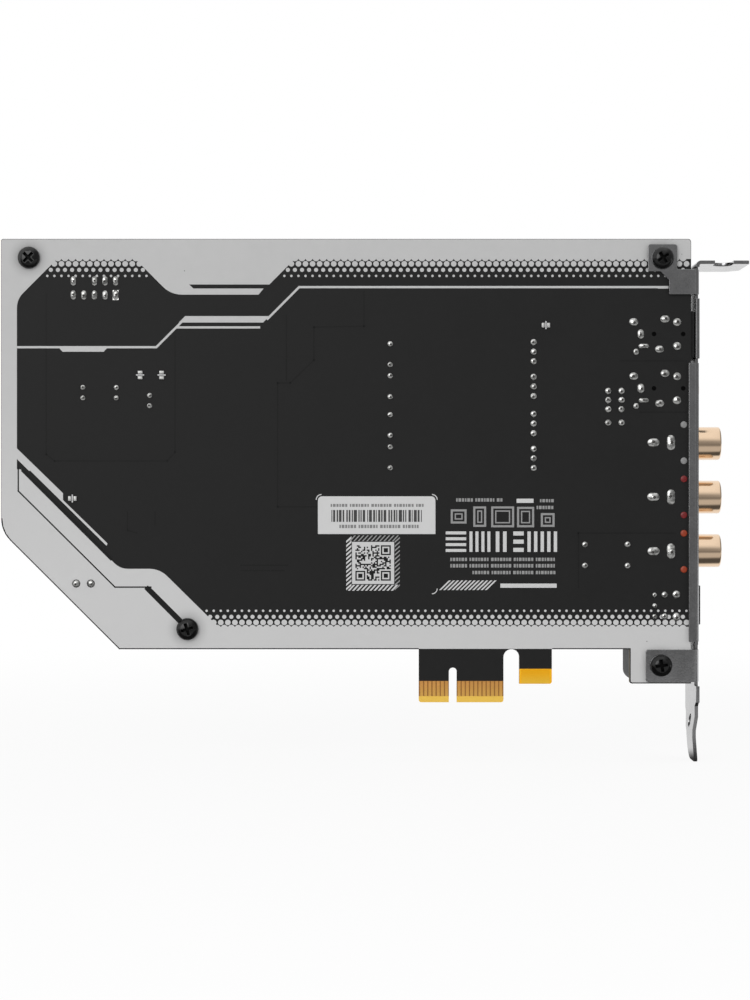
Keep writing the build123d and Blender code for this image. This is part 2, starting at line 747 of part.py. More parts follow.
# Jacks for 3.5 mm plugs: body with the plug's bore and two pegs, and a ring in front
for jack_name, z in zip(("headphone_jack", "microphone_jack"), jack_z):
    with BuildPart() as jack_body:
        with BuildSketch(component_face):
            with Locations((port_front, z)):
                Rectangle(port_front - jack_back, 2 * jack_half_width, align=(Align.MAX, Align.CENTER))
        extrude(amount=half_board - jack_height)
        with BuildSketch(Plane.YZ.offset(port_front)):
            with Locations((port_y, z)):
                Circle(jack_bore)
        extrude(amount=jack_bore_end - port_front, mode=Mode.SUBTRACT)
        with BuildSketch(component_face):
            with Locations((jack_peg_x[0], z), (jack_peg_x[1], z)):
                RegularPolygon(jack_peg_radius, few_sides)
        extrude(amount=board_thickness - 0.2)
    jack_body.part.label = jack_name + "_body"
    export_step(jack_body.part, "parts/" + jack_name + "_body.step")

    with BuildPart() as nose:
        with BuildSketch(Plane.YZ.offset(port_front)):
            with Locations((port_y, z)):
                Circle(jack_nose_radius)
                RegularPolygon(jack_bore + jack_nose_clear, many_sides, mode=Mode.SUBTRACT)
        extrude(amount=jack_nose_end - port_front)
    nose.part.label = jack_name + "_nose"
    export_step(nose.part, "parts/" + jack_name + "_nose.step")

# Optical port: black housing, sprung shutter on two trunnions, emitter at the back of the cavity
shutter_low = optical_z - shutter_half
with BuildPart() as optical_housing:
    with BuildSketch(component_face):
        with Locations((port_front, optical_z)):
            Rectangle(port_front - optical_back, 2 * optical_half + 0.5, align=(Align.MAX, Align.CENTER))
    extrude(amount=half_board - port_y - optical_half)
    with BuildSketch(Plane.YZ.offset(port_front)):
        with Locations((port_y, optical_z)):
            Rectangle(2 * optical_half, 2 * optical_half)
    extrude(amount=optical_front - port_front)
    with BuildSketch(Plane.YZ.offset(optical_front)):
        with Locations((port_y, optical_z)):
            Rectangle(2 * optical_mouth, 2 * optical_mouth)
    extrude(amount=-optical_frame, mode=Mode.SUBTRACT)
    with BuildSketch(Plane.YZ.offset(optical_front - optical_frame)):
        with Locations((port_y, optical_z)):
            Rectangle(2 * optical_cavity, 2 * optical_cavity)
    extrude(amount=optical_frame - optical_depth, mode=Mode.SUBTRACT)
    with BuildSketch(Plane.XZ.offset(-port_y)):
        with Locations((shutter_x, shutter_hinge_z)):
            RegularPolygon(shutter_pin_radius + 2 * slip, few_sides)
    extrude(amount=shutter_half + shutter_pin_length + slip, both=True, mode=Mode.SUBTRACT)
optical_housing.part.label = "optical_housing"
export_step(optical_housing.part, "parts/optical_housing.step")

with BuildPart() as optical_shutter:
    with BuildSketch(Plane.XZ.offset(-port_y)):
        with Locations((shutter_x, shutter_low)):
            Rectangle(shutter_thickness, shutter_hinge_z - shutter_low, align=(Align.CENTER, Align.MIN))
        with Locations((shutter_x, shutter_hinge_z)):
            Circle(shutter_thickness / 2)
    extrude(amount=shutter_half, both=True)
    with BuildSketch(Plane.XZ.offset(-port_y)):
        with Locations((shutter_x, shutter_hinge_z)):
            Circle(shutter_pin_radius)
    extrude(amount=shutter_half + shutter_pin_length, both=True)
optical_shutter.part.label = "optical_shutter"
export_step(optical_shutter.part, "parts/optical_shutter.step")

with BuildPart() as optical_emitter:
    with BuildSketch(Plane.YZ.offset(optical_front - optical_depth)):
        with Locations((port_y, optical_z)):
            Rectangle(2 * emitter_half, 2 * emitter_half)
    extrude(amount=emitter_length)
    with BuildSketch(Plane.YZ.offset(optical_front - optical_depth + emitter_length)):
        with Locations((port_y, optical_z)):
            RegularPolygon(lens_radius, few_sides)
    extrude(amount=lens_height)
optical_emitter.part.label = "optical_emitter"
export_step(optical_emitter.part, "parts/optical_emitter.step")

# Parts with leads: a block or a can on the component side, over the joints of its leads
block_sets = (
    ("film_capacitors", [(film_x, z) for z in film_z], film_size, 0.5),
    ("output_transistors", [(transistor_x, z) for z in transistor_z], transistor_size, 0.3),
    ("signal_relay", [relay_at], relay_size, 0.4),
    ("output_transformer", [transformer_at], transformer_size, 0.6),
)
for block_name, places, (wide, tall, high), edge_cut in block_sets:
    with BuildPart() as blocks:
        with BuildSketch(component_face):
            with Locations(*places):
                Rectangle(wide, tall)
        extrude(amount=-high)
        chamfer(blocks.faces().group_by(Axis.Y)[-1].edges(), edge_cut)
    blocks.part.label = block_name
    export_step(blocks.part, "parts/" + block_name + ".step")

can_sets = (
    ("small_capacitors", small_cap_at, small_cap_radius, small_cap_height),
    ("large_capacitor", [large_cap_at], large_cap_radius, large_cap_height),
)
for can_name, places, radius, height in can_sets:
    with BuildPart() as cans:
        with BuildSketch(component_face):
            with Locations(*places):
                RegularPolygon(radius, many_sides)
        extrude(amount=-height)
    cans.part.label = can_name
    export_step(cans.part, "parts/" + can_name + ".step")

# Front-panel header: base block with square pins, one place left empty as the key
with BuildPart() as header_base:
    with BuildSketch(component_face):
        with Locations(header_at):
            Rectangle(header_columns * header_pitch, 2 * header_pitch)
    extrude(amount=-header_base_height)
header_base.part.label = "header_base"
export_step(header_base.part, "parts/header_base.step")

with BuildPart() as header_pins:
    with BuildSketch(Plane.XZ.offset(-half_board - header_base_height)):
        with Locations(*header_pins_at):
            Rectangle(pin_side, pin_side)
    extrude(amount=half_board + header_base_height - header_pin_top)
header_pins.part.label = "header_pins"
export_step(header_pins.part, "parts/header_pins.step")

# Flat chips soldered to the component side: places, plan size and height
amplifier_gap = 8.87
amplifier_x = relay_at[0] - amplifier_gap
chip_sets = (
    ("audio_processor", [(-36.0, 52.0)], (14.0, 14.0, 1.3)),
    ("converter_chip", [(2.0, 70.0)], (7.0, 7.0, 1.0)),
    ("amplifier_chips", [(amplifier_x, z) for z in (86.0, 75.0, 58.0)], (4.0, 5.0, 1.5)),
    ("crystals", [(-36.0, 70.0), (2.0, 56.0)], (5.0, 3.2, 1.1)),
    ("regulators", [(-60.0, 50.0), (-60.0, 40.0), (-60.0, 30.0)], (3.6, 6.5, 1.7)),
)
for chip_name, places, (wide, tall, high) in chip_sets:
    with BuildPart() as chips:
        with BuildSketch(component_face):
            with Locations(*places):
                Rectangle(wide, tall)
        extrude(amount=-high)
        chamfer(chips.faces().group_by(Axis.Y)[-1].edges(), 0.2)
    chips.part.label = chip_name
    export_step(chips.part, "parts/" + chip_name + ".step")
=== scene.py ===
import math

import bmesh
import bpy
from mathutils import Matrix, Vector


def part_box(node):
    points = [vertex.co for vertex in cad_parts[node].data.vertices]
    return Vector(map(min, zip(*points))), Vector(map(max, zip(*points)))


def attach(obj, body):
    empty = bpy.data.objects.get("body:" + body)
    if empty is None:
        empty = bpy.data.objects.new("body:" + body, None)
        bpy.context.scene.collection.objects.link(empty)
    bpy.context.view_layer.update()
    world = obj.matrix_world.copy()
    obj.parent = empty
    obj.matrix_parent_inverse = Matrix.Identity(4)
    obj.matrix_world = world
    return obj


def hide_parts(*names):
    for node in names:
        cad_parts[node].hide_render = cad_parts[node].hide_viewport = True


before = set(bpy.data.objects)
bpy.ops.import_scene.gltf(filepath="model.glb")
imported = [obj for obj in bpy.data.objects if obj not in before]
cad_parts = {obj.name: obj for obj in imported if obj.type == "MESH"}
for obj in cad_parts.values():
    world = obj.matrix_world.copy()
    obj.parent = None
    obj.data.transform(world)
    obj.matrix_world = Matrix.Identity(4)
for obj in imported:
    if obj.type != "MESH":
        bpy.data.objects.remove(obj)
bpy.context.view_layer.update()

# Circuit board
# A routed glass-epoxy sheet with black solder mask on both faces. The mask stops above the contacts of
# the tongue and the hook, and the pale core shows along every routed edge. All sizes below are in mm.
MM = 0.001
SOLDER_FACE = -0.8
BARE_TONGUE_TOP = 5.15
BARE_HOOK_TOP = 8.05
HOOK_LEFT = 14.0
HOOK_RIGHT = 30.0
BEVEL_TOP = 1.5


def screen(red, green, blue):
    """A colour given as screen values from 0 to 255, as the shader wants it."""
    linear = []
    for value in (red, green, blue):
        share = value / 255
        linear.append(share / 12.92 if share < 0.04045 else ((share + 0.055) / 1.055) ** 2.4)
    return (*linear, 1.0)


def add_node(tree, kind, **settings):
    node = tree.nodes.new(kind)
    for name, value in settings.items():
        setattr(node, name, value)
    return node


def join(tree, value, socket):
    """Links an output to a socket, or sets the socket where the value is a constant."""
    if isinstance(value, bpy.types.NodeSocket):
        tree.links.new(value, socket)
    else:
        socket.default_value = value


def calculate(tree, operation, first, second=0.0):
    node = add_node(tree, "ShaderNodeMath", operation=operation)
    join(tree, first, node.inputs[0])
    join(tree, second, node.inputs[1])
    return node.outputs[0]


def blend_colours(tree, mask, under, over):
    """The under colour where the mask is 0 and the over colour where it is 1."""
    node = add_node(tree, "ShaderNodeMix", data_type="RGBA")
    join(tree, mask, node.inputs[0])
    join(tree, under, node.inputs[6])
    join(tree, over, node.inputs[7])
    return node.outputs[2]


def fade(tree, value, start, end):
    """A mask that rises smoothly from 0 at start to 1 at end."""
    node = add_node(tree, "ShaderNodeMapRange", interpolation_type="SMOOTHSTEP")
    join(tree, value, node.inputs["Value"])
    node.inputs["From Min"].default_value = start
    node.inputs["From Max"].default_value = end
    return node.outputs[0]


def make_grain_group():
    """Soft mottle of one colour and its roughness, with a height for the bump."""
    group = bpy.data.node_groups.new("surface grain", "ShaderNodeTree")
    for name, kind, value in (
        ("Colour", "NodeSocketColor", (0.5, 0.5, 0.5, 1.0)), ("Spread", "NodeSocketFloat", 0.1),
        ("Grain mm", "NodeSocketFloat", 1.0), ("Roughness", "NodeSocketFloat", 0.5),
        ("Roughness spread", "NodeSocketFloat", 0.1),
    ):
        group.interface.new_socket(name=name, in_out="INPUT", socket_type=kind).default_value = value
    for name, kind in (
        ("Colour", "NodeSocketColor"), ("Roughness", "NodeSocketFloat"), ("Height", "NodeSocketFloat"),
    ):
        group.interface.new_socket(name=name, in_out="OUTPUT", socket_type=kind)
    given = add_node(group, "NodeGroupInput")
    result = add_node(group, "NodeGroupOutput")
    place = add_node(group, "ShaderNodeTexCoord")
    per_metre = calculate(group, "DIVIDE", 1 / MM, given.outputs["Grain mm"])
    fine = add_node(group, "ShaderNodeTexNoise")
    fine.inputs["Detail"].default_value = 4.0
    broad = add_node(group, "ShaderNodeTexNoise")
    broad.inputs["Detail"].default_value = 2.0
    for noise, scale in ((fine, per_metre), (broad, calculate(group, "MULTIPLY", per_metre, 0.13))):
        group.links.new(place.outputs["Object"], noise.inputs["Vector"])
        group.links.new(scale, noise.inputs["Scale"])
    both = calculate(group, "ADD", fine.outputs["Fac"], broad.outputs["Fac"])
    swing = calculate(group, "SUBTRACT", both, 1.0)
    factor = calculate(group, "ADD", calculate(group, "MULTIPLY", swing, given.outputs["Spread"]), 1.0)
    toned = add_node(group, "ShaderNodeVectorMath", operation="SCALE")
    group.links.new(given.outputs["Colour"], toned.inputs[0])
    group.links.new(factor, toned.inputs["Scale"])
    rough_swing = calculate(group, "MULTIPLY", swing, given.outputs["Roughness spread"])
    rough = calculate(group, "ADD", given.outputs["Roughness"], rough_swing)
    group.links.new(toned.outputs[0], result.inputs["Colour"])
    group.links.new(rough, result.inputs["Roughness"])
    group.links.new(fine.outputs["Fac"], result.inputs["Height"])
    return group


surface_grain = make_grain_group()


def make_finish(name, colour, spread, grain_mm, roughness, rough_spread, bump=0.0, metallic=0.0, shine=0.5):
    """A material on the shared grain; returns it with its shader and its grain node."""
    finish = bpy.data.materials.new(name)
    finish.use_nodes = True
    tree = finish.node_tree
    shader = tree.nodes["Principled BSDF"]
    shader.inputs["Metallic"].default_value = metallic
    shader.inputs["Specular IOR Level"].default_value = shine
    grain = add_node(tree, "ShaderNodeGroup", node_tree=surface_grain)
    for socket, value in (
        ("Colour", colour), ("Spread", spread), ("Grain mm", grain_mm),
        ("Roughness", roughness), ("Roughness spread", rough_spread),
    ):
        grain.inputs[socket].default_value = value
    tree.links.new(grain.outputs["Colour"], shader.inputs["Base Color"])
    tree.links.new(grain.outputs["Roughness"], shader.inputs["Roughness"])
    if bump:
        relief = add_node(tree, "ShaderNodeBump")
        relief.inputs["Strength"].default_value = bump
        relief.inputs["Distance"].default_value = 0.1 * MM
        tree.links.new(grain.outputs["Height"], relief.inputs["Height"])
        tree.links.new(relief.outputs["Normal"], shader.inputs["Normal"])
    return finish, shader, grain


def split_place(tree, kind="Object"):
    """The three axes of the place, or of the surface's direction, on the object."""
    place = add_node(tree, "ShaderNodeTexCoord")
    axes = add_node(tree, "ShaderNodeSeparateXYZ")
    tree.links.new(place.outputs[kind], axes.inputs[0])
    return axes.outputs["X"], axes.outputs["Y"], axes.outputs["Z"]


def dress(node, finish):
    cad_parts[node].material_slots[0].material = finish


black_mask, mask_shader, mask_grain = make_finish(
    "black_mask", screen(32, 32, 32), 0.14, 1.6, 0.5, 0.1, 0.05, shine=0.11,
)
tree = black_mask.node_tree
along, depth, height = split_place(tree)
outward = split_place(tree, "Normal")[1]
tongue_bare = calculate(tree, "LESS_THAN", height, BARE_TONGUE_TOP * MM)
before_foot = calculate(tree, "LESS_THAN", along, HOOK_RIGHT * MM)
on_hook = calculate(tree, "MULTIPLY", calculate(tree, "GREATER_THAN", along, HOOK_LEFT * MM), before_foot)
hook_bare = calculate(tree, "MULTIPLY", on_hook, calculate(tree, "LESS_THAN", height, BARE_HOOK_TOP * MM))
bare = calculate(tree, "MAXIMUM", calculate(tree, "MULTIPLY", tongue_bare, before_foot), hook_bare)
edge_face = calculate(tree, "LESS_THAN", calculate(tree, "ABSOLUTE", outward), 0.5)
inside = calculate(tree, "LESS_THAN", calculate(tree, "ABSOLUTE", depth), 0.68 * MM)
core = calculate(tree, "MULTIPLY", edge_face, inside)
bevel = calculate(tree, "MULTIPLY", bare, calculate(tree, "LESS_THAN", height, BEVEL_TOP * MM))
shade = blend_colours(tree, bare, mask_grain.outputs["Colour"], screen(150, 104, 52))
shade = blend_colours(tree, hook_bare, shade, screen(240, 178, 30))
shade = blend_colours(tree, core, shade, screen(122, 112, 88))
shade = blend_colours(tree, bevel, shade, screen(236, 194, 88))
tree.links.new(shade, mask_shader.inputs["Base Color"])
dress("circuit_board", black_mask)


def finish_piece(name, bm, finish, sharp=35):
    """Turns a bmesh in mm into a piece that rides on the card."""
    bmesh.ops.scale(bm, vec=(MM, MM, MM), verts=bm.verts)
    mesh = bpy.data.meshes.new(name)
    bm.to_mesh(mesh)
    bm.free()
    mesh.materials.append(finish)
    mesh.shade_smooth()
    mesh.set_sharp_from_angle(angle=math.radians(sharp))
    piece = bpy.data.objects.new(name, mesh)
    bpy.context.scene.collection.objects.link(piece)
    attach(piece, "card")
    return piece


def add_block(bm, low, high, turn=Matrix.Identity(4)):
    """A box between two corners, turned about its own middle."""
    middle = (Vector(low) + Vector(high)) / 2
    size = Vector(high) - Vector(low)
    matrix = Matrix.Translation(middle) @ turn @ Matrix.Diagonal((*size, 1.0))
    return bmesh.ops.create_cube(bm, size=1.0, matrix=matrix)["verts"]


def add_ribbon(bm, points, width, rise):
    """A flat line on the solder face through the given places."""
    for (x1, z1), (x2, z2) in zip(points, points[1:]):
        half = math.hypot(x2 - x1, z2 - z1) / 2 + width / 2
        middle = Vector(((x1 + x2) / 2, SOLDER_FACE, (z1 + z2) / 2))
        turn = Matrix.Rotation(-math.atan2(z2 - z1, x2 - x1), 4, "Y")
        low = middle - Vector((half, rise, width / 2))
        add_block(bm, low, middle + Vector((half, 0, width / 2)), turn)


# Copper tracks under the mask
# Etched copper that the mask covers: only its edges show, as faint lines a shade darker than the field.
track_routes = (
    ((-97.5, 98.0), (-97.5, 59.5), (-95.5, 57.9), (-68.5, 57.9), (-66.6, 60.0), (-66.6, 88.0)),
    ((-31.8, 46.9), (-42.0, 46.9), (-42.0, 76.6), (-39.0, 76.6), (-33.3, 82.1), (-33.3, 90.0), (-21.3, 90.2),
     (-21.3, 98.5)),
    ((-39.9, 92.9), (-39.9, 77.3)),
    ((-78.0, 45.7), (-78.0, 41.3), (-75.7, 40.6)),
    ((-71.4, 45.7), (-71.4, 42.5)),
    ((-50.8, 32.9), (-39.5, 32.9)),
    ((-50.8, 31.6), (-40.5, 31.6)),
    ((40.1, 81.9), (56.0, 81.9)),
    ((44.9, 69.6), (56.0, 69.6)),
    ((30.1, 27.5), (30.1, 40.6), (53.3, 40.6)),
)
bm = bmesh.new()
for route in track_routes:
    add_ribbon(bm, route, 0.3, 0.012)
track_mask = make_finish("mask_over_track", screen(27, 27, 27), 0.3, 0.8, 0.5, 0.1, shine=0.11)[0]
finish_piece("mask_tracks", bm, track_mask)

# Edge contacts
# Gold plate over copper pads on both faces of the tongue, and one wide pad on each face of the hook.
contact_gold, contact_shader, contact_grain = make_finish(
    "contact_gold", screen(213, 153, 80), 0.14, 0.5, 0.32, 0.12, 0.08, metallic=0.5,
)
tree = contact_gold.node_tree
along, depth, height = split_place(tree)
on_hook = calculate(tree, "GREATER_THAN", along, HOOK_LEFT * MM)
# The finger gold is made paler towards the bottom.
paler_towards_bottom = fade(tree, height, 5.0 * MM, 1.0 * MM)
finger = blend_colours(tree, paler_towards_bottom, contact_grain.outputs["Colour"], screen(222, 172, 84))
hook_tone = blend_colours(tree, fade(tree, height, 7.6 * MM, 4.4 * MM), screen(254, 182, 8), screen(250, 198, 58))
tree.links.new(blend_colours(tree, on_hook, finger, hook_tone), contact_shader.inputs["Base Color"])
dress("edge_contacts", contact_gold)

# Printed border
# Screen-printed grey ink: a wide border, thin lines, and rows of dots that fade into the black field.
# The ink stops short of the routed edge and dust leaves dark specks in it. Painted shade darkens it round the screws,
# and painted light makes it lighter towards the bottom.
DOT_RISE = 0.045
DOT_PITCH = 1.692
dot_sizes = (0.3, 0.5, 0.685, 0.86)
top_rows = (102.28, 103.72, 105.18, 106.62)
low_rows = (21.97, 20.53, 19.18, 17.77)
screw_places = ((-101.6, 106.6), (-63.6, 17.6), (50.2, 106.45), (49.8, 8.95))
capacitor_joints = ((-90.3, 28.5), (-86.8, 28.5))
grey_ink, ink_shader, ink_grain = make_finish(
    "grey_ink", screen(180, 180, 180), 0.06, 2.4, 0.6, 0.08, 0.04, shine=0.3,
)
tree = grey_ink.node_tree
ink_place = add_node(tree, "ShaderNodeTexCoord")
specks = add_node(tree, "ShaderNodeTexVoronoi")
specks.inputs["Scale"].default_value = 150
tree.links.new(ink_place.outputs["Object"], specks.inputs["Vector"])
dust = calculate(tree, "LESS_THAN", specks.outputs["Distance"], 0.02)
# Painted light: the ink is painted lighter towards the bottom, standing in for how the light falls on it.
painted_lower_light = calculate(tree, "MULTIPLY", fade(tree, split_place(tree)[2], 100 * MM, 15 * MM), 0.75)
shade = blend_colours(tree, painted_lower_light, ink_grain.outputs["Colour"], screen(198, 198, 198))
shade = blend_colours(tree, dust, shade, screen(110, 110, 108))
for x, z in screw_places:
    reach = add_node(tree, "ShaderNodeVectorMath", operation="DISTANCE")
    tree.links.new(ink_place.outputs["Object"], reach.inputs[0])
    reach.inputs[1].default_value = (x * MM, SOLDER_FACE * MM, z * MM)
    # Painted shade: a soft darker ring round each screw stands in for the shadow round the screw heads.
    painted_screw_shade = calculate(tree, "MULTIPLY", fade(tree, reach.outputs["Value"], 5.4 * MM, 2.4 * MM), 0.3)
    shade = blend_colours(tree, painted_screw_shade, shade, screen(120, 120, 120))
tree.links.new(shade, ink_shader.inputs["Base Color"])
dress("printed_border", grey_ink)


def add_dot(bm, x, z, radius, rise=DOT_RISE):
    matrix = Matrix.Translation((x, SOLDER_FACE - rise / 2, z)) @ Matrix.Rotation(math.pi / 2, 4, "X")
    bmesh.ops.create_cone(
        bm, cap_ends=True, segments=12, radius1=radius, radius2=radius, depth=rise, matrix=matrix,
    )


def add_dot_rows(bm, rows, phase, count, left_edge):
    """Rows of dots from a left edge that slopes, every second row half a step over."""
    for row, (z, radius) in enumerate(zip(rows, dot_sizes)):
        for step in range(-6, count):
            x = phase + DOT_PITCH * (step + 0.5 * (row % 2))
            if left_edge(z) < x + 0.25 * row and x < 56.6:
                add_dot(bm, x, z, radius)


bm = bmesh.new()
add_dot_rows(bm, top_rows, -40.4, 60, lambda z: -44.1 + (z - 100.22))
add_dot_rows(bm, low_rows, -59.03, 72, lambda z: -60.9 + 0.9 * (22.95 - z))
for row, (z, radius) in enumerate(zip(top_rows, dot_sizes)):
    for step in range(15 - row):
        add_dot(bm, -97.24 + 1.698 * (step + row / 2), z, radius)
for x, z in capacitor_joints:
    add_dot(bm, x, z, 1.35)
add_ribbon(bm, ((49.5, 99.55), (51.4, 99.55)), 0.62, DOT_RISE)
finish_piece("printed_dots", bm, grey_ink)

bare_edges = (
    (0.26, ((-108.14, 44.04), (-107.9, 42.17), (-107.2, 40.43), (-106.06, 38.94), (-79.95, 12.88), (-8.3, 12.88))),
    (0.26, ((24.0, 12.88), (42.53, 12.88), (42.53, 4.9), (43.0, 4.66), (56.9, 4.66))),
    (0.34, ((-104.2, 57.2), (-104.2, 50.7), (-81.0, 27.65), (-72.4, 27.65))),
    (0.28, ((-101.4, 55.45), (-83.1, 37.42))),
    (0.8, ((-103.0, 55.5), (-82.0, 34.5))),
    (1.26, ((-72.75, 26.95), (-65.3, 19.5))),
)
bm = bmesh.new()
for width, route in bare_edges:
    add_ribbon(bm, route, width, DOT_RISE + 0.01)
for x, z in capacitor_joints:
    add_dot(bm, x, z, 0.99, DOT_RISE + 0.01)
finish_piece("mask_margin", bm, track_mask)

# Printed marks on the black field
# The same ink as plain shapes: corner arcs, slanted stripes, frames, and rows of short bars where small
# print would be.
pale_ink = make_finish("pale_ink", screen(196, 196, 196), 0.06, 0.7, 0.6, 0.08, shine=0.3)[0]
faint_ink = make_finish("faint_ink", screen(140, 140, 140), 0.1, 0.5, 0.6, 0.08, shine=0.3)[0]


def add_slashes(bm, left, low, count, pitch, wide, high, lean):
    """Slanted bars side by side, each a box sheared to the right."""
    for number in range(count):
        x = left + pitch * number
        verts = add_block(bm, (x, SOLDER_FACE - DOT_RISE, low), (x + wide, SOLDER_FACE, low + high))
        for vert in verts:
            vert.co.x += lean * (vert.co.z - low) / high


def add_climbing_slashes(bm, left, low, count, pitch, wide, high, rise):
    """Slanted bars above each other, each a box sheared upwards."""
    for number in range(count):
        z = low + pitch * number
        verts = add_block(bm, (left, SOLDER_FACE - DOT_RISE, z), (left + wide, SOLDER_FACE, z + high))
        for vert in verts:
            vert.co.z += rise * (vert.co.x - left) / wide


def add_arc(bm, x, z, radius, width, start_angle):
    """A quarter ring, swept from a small upright face."""
    corners = ((radius, 0), (radius + width, 0), (radius + width, DOT_RISE), (radius, DOT_RISE))
    verts = [bm.verts.new((x + out, SOLDER_FACE - rise, z)) for out, rise in corners]
    bmesh.ops.rotate(bm, verts=verts, cent=(x, 0, z), matrix=Matrix.Rotation(-start_angle, 3, "Y"))
    face = bm.faces.new(verts)
    bmesh.ops.spin(
        bm, geom=verts + face.edges[:] + [face], cent=(x, 0, z), axis=(0, -1, 0), angle=math.pi / 2, steps=6,
    )


def add_letter_bars(bm, left, right, low, high, face=SOLDER_FACE, rise=DOT_RISE):
    """A row of short bars, in groups, in the place of a line of small print."""
    x = left
    number = 0
    while x < right - 0.3:
        length = min(0.36 + 0.14 * ((number * 5) % 3), right - x)
        add_block(bm, (x, face - rise, low), (x + length, face, high))
        x += length + (0.6 if number % 7 == 5 else 0.2)
        number += 1


def add_frame(bm, left, right, low, high, line):
    """A plain rectangle drawn as an outline."""
    for x1, x2, z1, z2 in (
        (left, right, low, low + line), (left, right, high - line, high),
        (left, left + line, low + line, high - line), (right - line, right, low + line, high - line),
    ):
        add_block(bm, (x1, SOLDER_FACE - DOT_RISE, z1), (x2, SOLDER_FACE, z2))


def add_stripes(bm, left, right, low, high, count, upright):
    """A block of equal stripes with equal gaps."""
    step = ((right - left) if upright else (high - low)) / (2 * count - 1)
    for number in range(count):
        start = 2 * step * number
        if upright:
            add_block(bm, (left + start, SOLDER_FACE - DOT_RISE, low), (left + start + step, SOLDER_FACE, high))
        else:
            add_block(bm, (left, SOLDER_FACE - DOT_RISE, low + start), (right, SOLDER_FACE, low + start + step))


bm = bmesh.new()
add_slashes(bm, -3.3, 26.95, 12, 0.995, 0.5, 2.3, 2.35)
add_climbing_slashes(bm, -25.56, 26.9, 12, 1.03, 1.25, 0.52, 1.1)
add_slashes(bm, -25.2, 26.8, 11, 1.03, 0.52, 1.4, 1.3)
for x, z, angle in ((-31.5, 48.6, math.pi / 2), (-5.0, 48.6, 0.0), (-5.0, 27.3, -math.pi / 2)):
    add_arc(bm, x, z, 1.15, 0.22, angle)
add_block(bm, (15.3, SOLDER_FACE - DOT_RISE, 47.85), (19.35, SOLDER_FACE, 48.85))
add_block(bm, (11.4, SOLDER_FACE - DOT_RISE, 27.5), (24.9, SOLDER_FACE, 28.5))
for left, right, count, upright in (
    (-1.7, 3.2, 4, False), (4.0, 9.0, 4, True), (10.3, 12.9, 2, True), (14.5, 17.0, 3, False), (17.9, 25.0, 5, True),
):
    add_stripes(bm, left, right, 36.1, 41.0, count, upright)
bmesh.ops.recalc_face_normals(bm, faces=bm.faces[:])
finish_piece("printed_marks", bm, pale_ink, sharp=20)

bm = bmesh.new()
add_climbing_slashes(bm, -13.95, 26.9, 12, 1.03, 1.25, 0.36, 1.1)
add_slashes(bm, -24.9, 38.65, 11, 1.03, 0.36, 1.4, 1.3)
for left, right, low, high in (
    (0.8, 11.9, 48.15, 48.95), (20.9, 24.6, 48.0, 48.75), (20.1, 25.0, 46.35, 47.15),
    (-0.6, 24.9, 33.9, 34.7), (-0.6, 24.9, 32.35, 33.2), (4.7, 24.9, 30.75, 31.55),
):
    add_letter_bars(bm, left, right, low, high)
for left, right, low, high in (
    (-0.5, 3.3, 42.9, 46.3), (4.9, 8.0, 42.1, 47.0), (9.2, 14.7, 42.0, 47.0), (15.4, 19.5, 42.0, 46.9),
    (21.1, 24.4, 42.1, 45.4),
):
    add_frame(bm, left, right, low, high, 0.5)
    add_frame(bm, left + 0.95, right - 0.95, low + 0.95, high - 0.95, 0.3)
finish_piece("printed_small_marks", bm, faint_ink, sharp=20)

# Printed square
# A square of pale ink on the board with a pattern of small dark squares that follows a counting rule.
SQUARE_LEFT = -24.17
SQUARE_LOW = 28.39
SQUARE_SIDE = 10.1
CELLS = 25
CELL = 0.34
INK_RISE = 0.012
bm = bmesh.new()
add_block(
    bm, (SQUARE_LEFT, SOLDER_FACE - DOT_RISE, SQUARE_LOW),
    (SQUARE_LEFT + SQUARE_SIDE, SOLDER_FACE, SQUARE_LOW + SQUARE_SIDE),
)
finish_piece("printed_square", bm, pale_ink)
bm = bmesh.new()
margin = (SQUARE_SIDE - CELLS * CELL) / 2
square_face = SOLDER_FACE - DOT_RISE
corners = ((3, 3), (CELLS - 4, 3), (CELLS - 4, CELLS - 4))
for column in range(CELLS):
    for row in range(CELLS):
        near = min(max(abs(column - x), abs(row - z)) for x, z in corners)
        scatter = math.sin(column * 12.9898 + row * 78.233) * 43758.5453 % 1.0
        if near in (0, 1, 3) or (near > 4 and scatter > 0.5):
            x = SQUARE_LEFT + margin + CELL * column
            z = SQUARE_LOW + margin + CELL * row
            add_block(bm, (x, square_face - INK_RISE, z), (x + CELL, square_face, z + CELL))
finish_piece("square_cells", bm, track_mask)

# Paper sticker
# A white paper label on the black field, printed with a bar pattern and two rows of short bars.
STICKER_FACE = -0.9
label_paper = make_finish("label_paper", screen(198, 198, 198), 0.04, 0.5, 0.7, 0.05, 0.05, shine=0.3)[0]
label_ink = make_finish("label_ink", screen(60, 60, 60), 0.1, 0.4, 0.6, 0.05, shine=0.3)[0]
label_print = make_finish("label_print", screen(122, 122, 122), 0.1, 0.4, 0.6, 0.05, shine=0.3)[0]
dress("serial_sticker", label_paper)
bm = bmesh.new()
x = -29.1
number = 0
while x < -7.5:
    width = (0.2, 0.42, 0.2, 0.62, 0.3)[number % 5] + 0.08 * (number % 3)
    add_block(bm, (x, STICKER_FACE - INK_RISE, 43.3), (x + width, STICKER_FACE, 46.15))
    x += width + (0.2, 0.34, 0.2, 0.26, 0.5, 0.22, 0.3)[number % 7]
    number += 1
finish_piece("sticker_bars", bm, label_ink)
bm = bmesh.new()
add_letter_bars(bm, -29.3, -7.0, 46.9, 47.6, STICKER_FACE, INK_RISE)
add_letter_bars(bm, -27.2, -8.2, 41.8, 42.6, STICKER_FACE, INK_RISE)
finish_piece("sticker_print", bm, label_print)

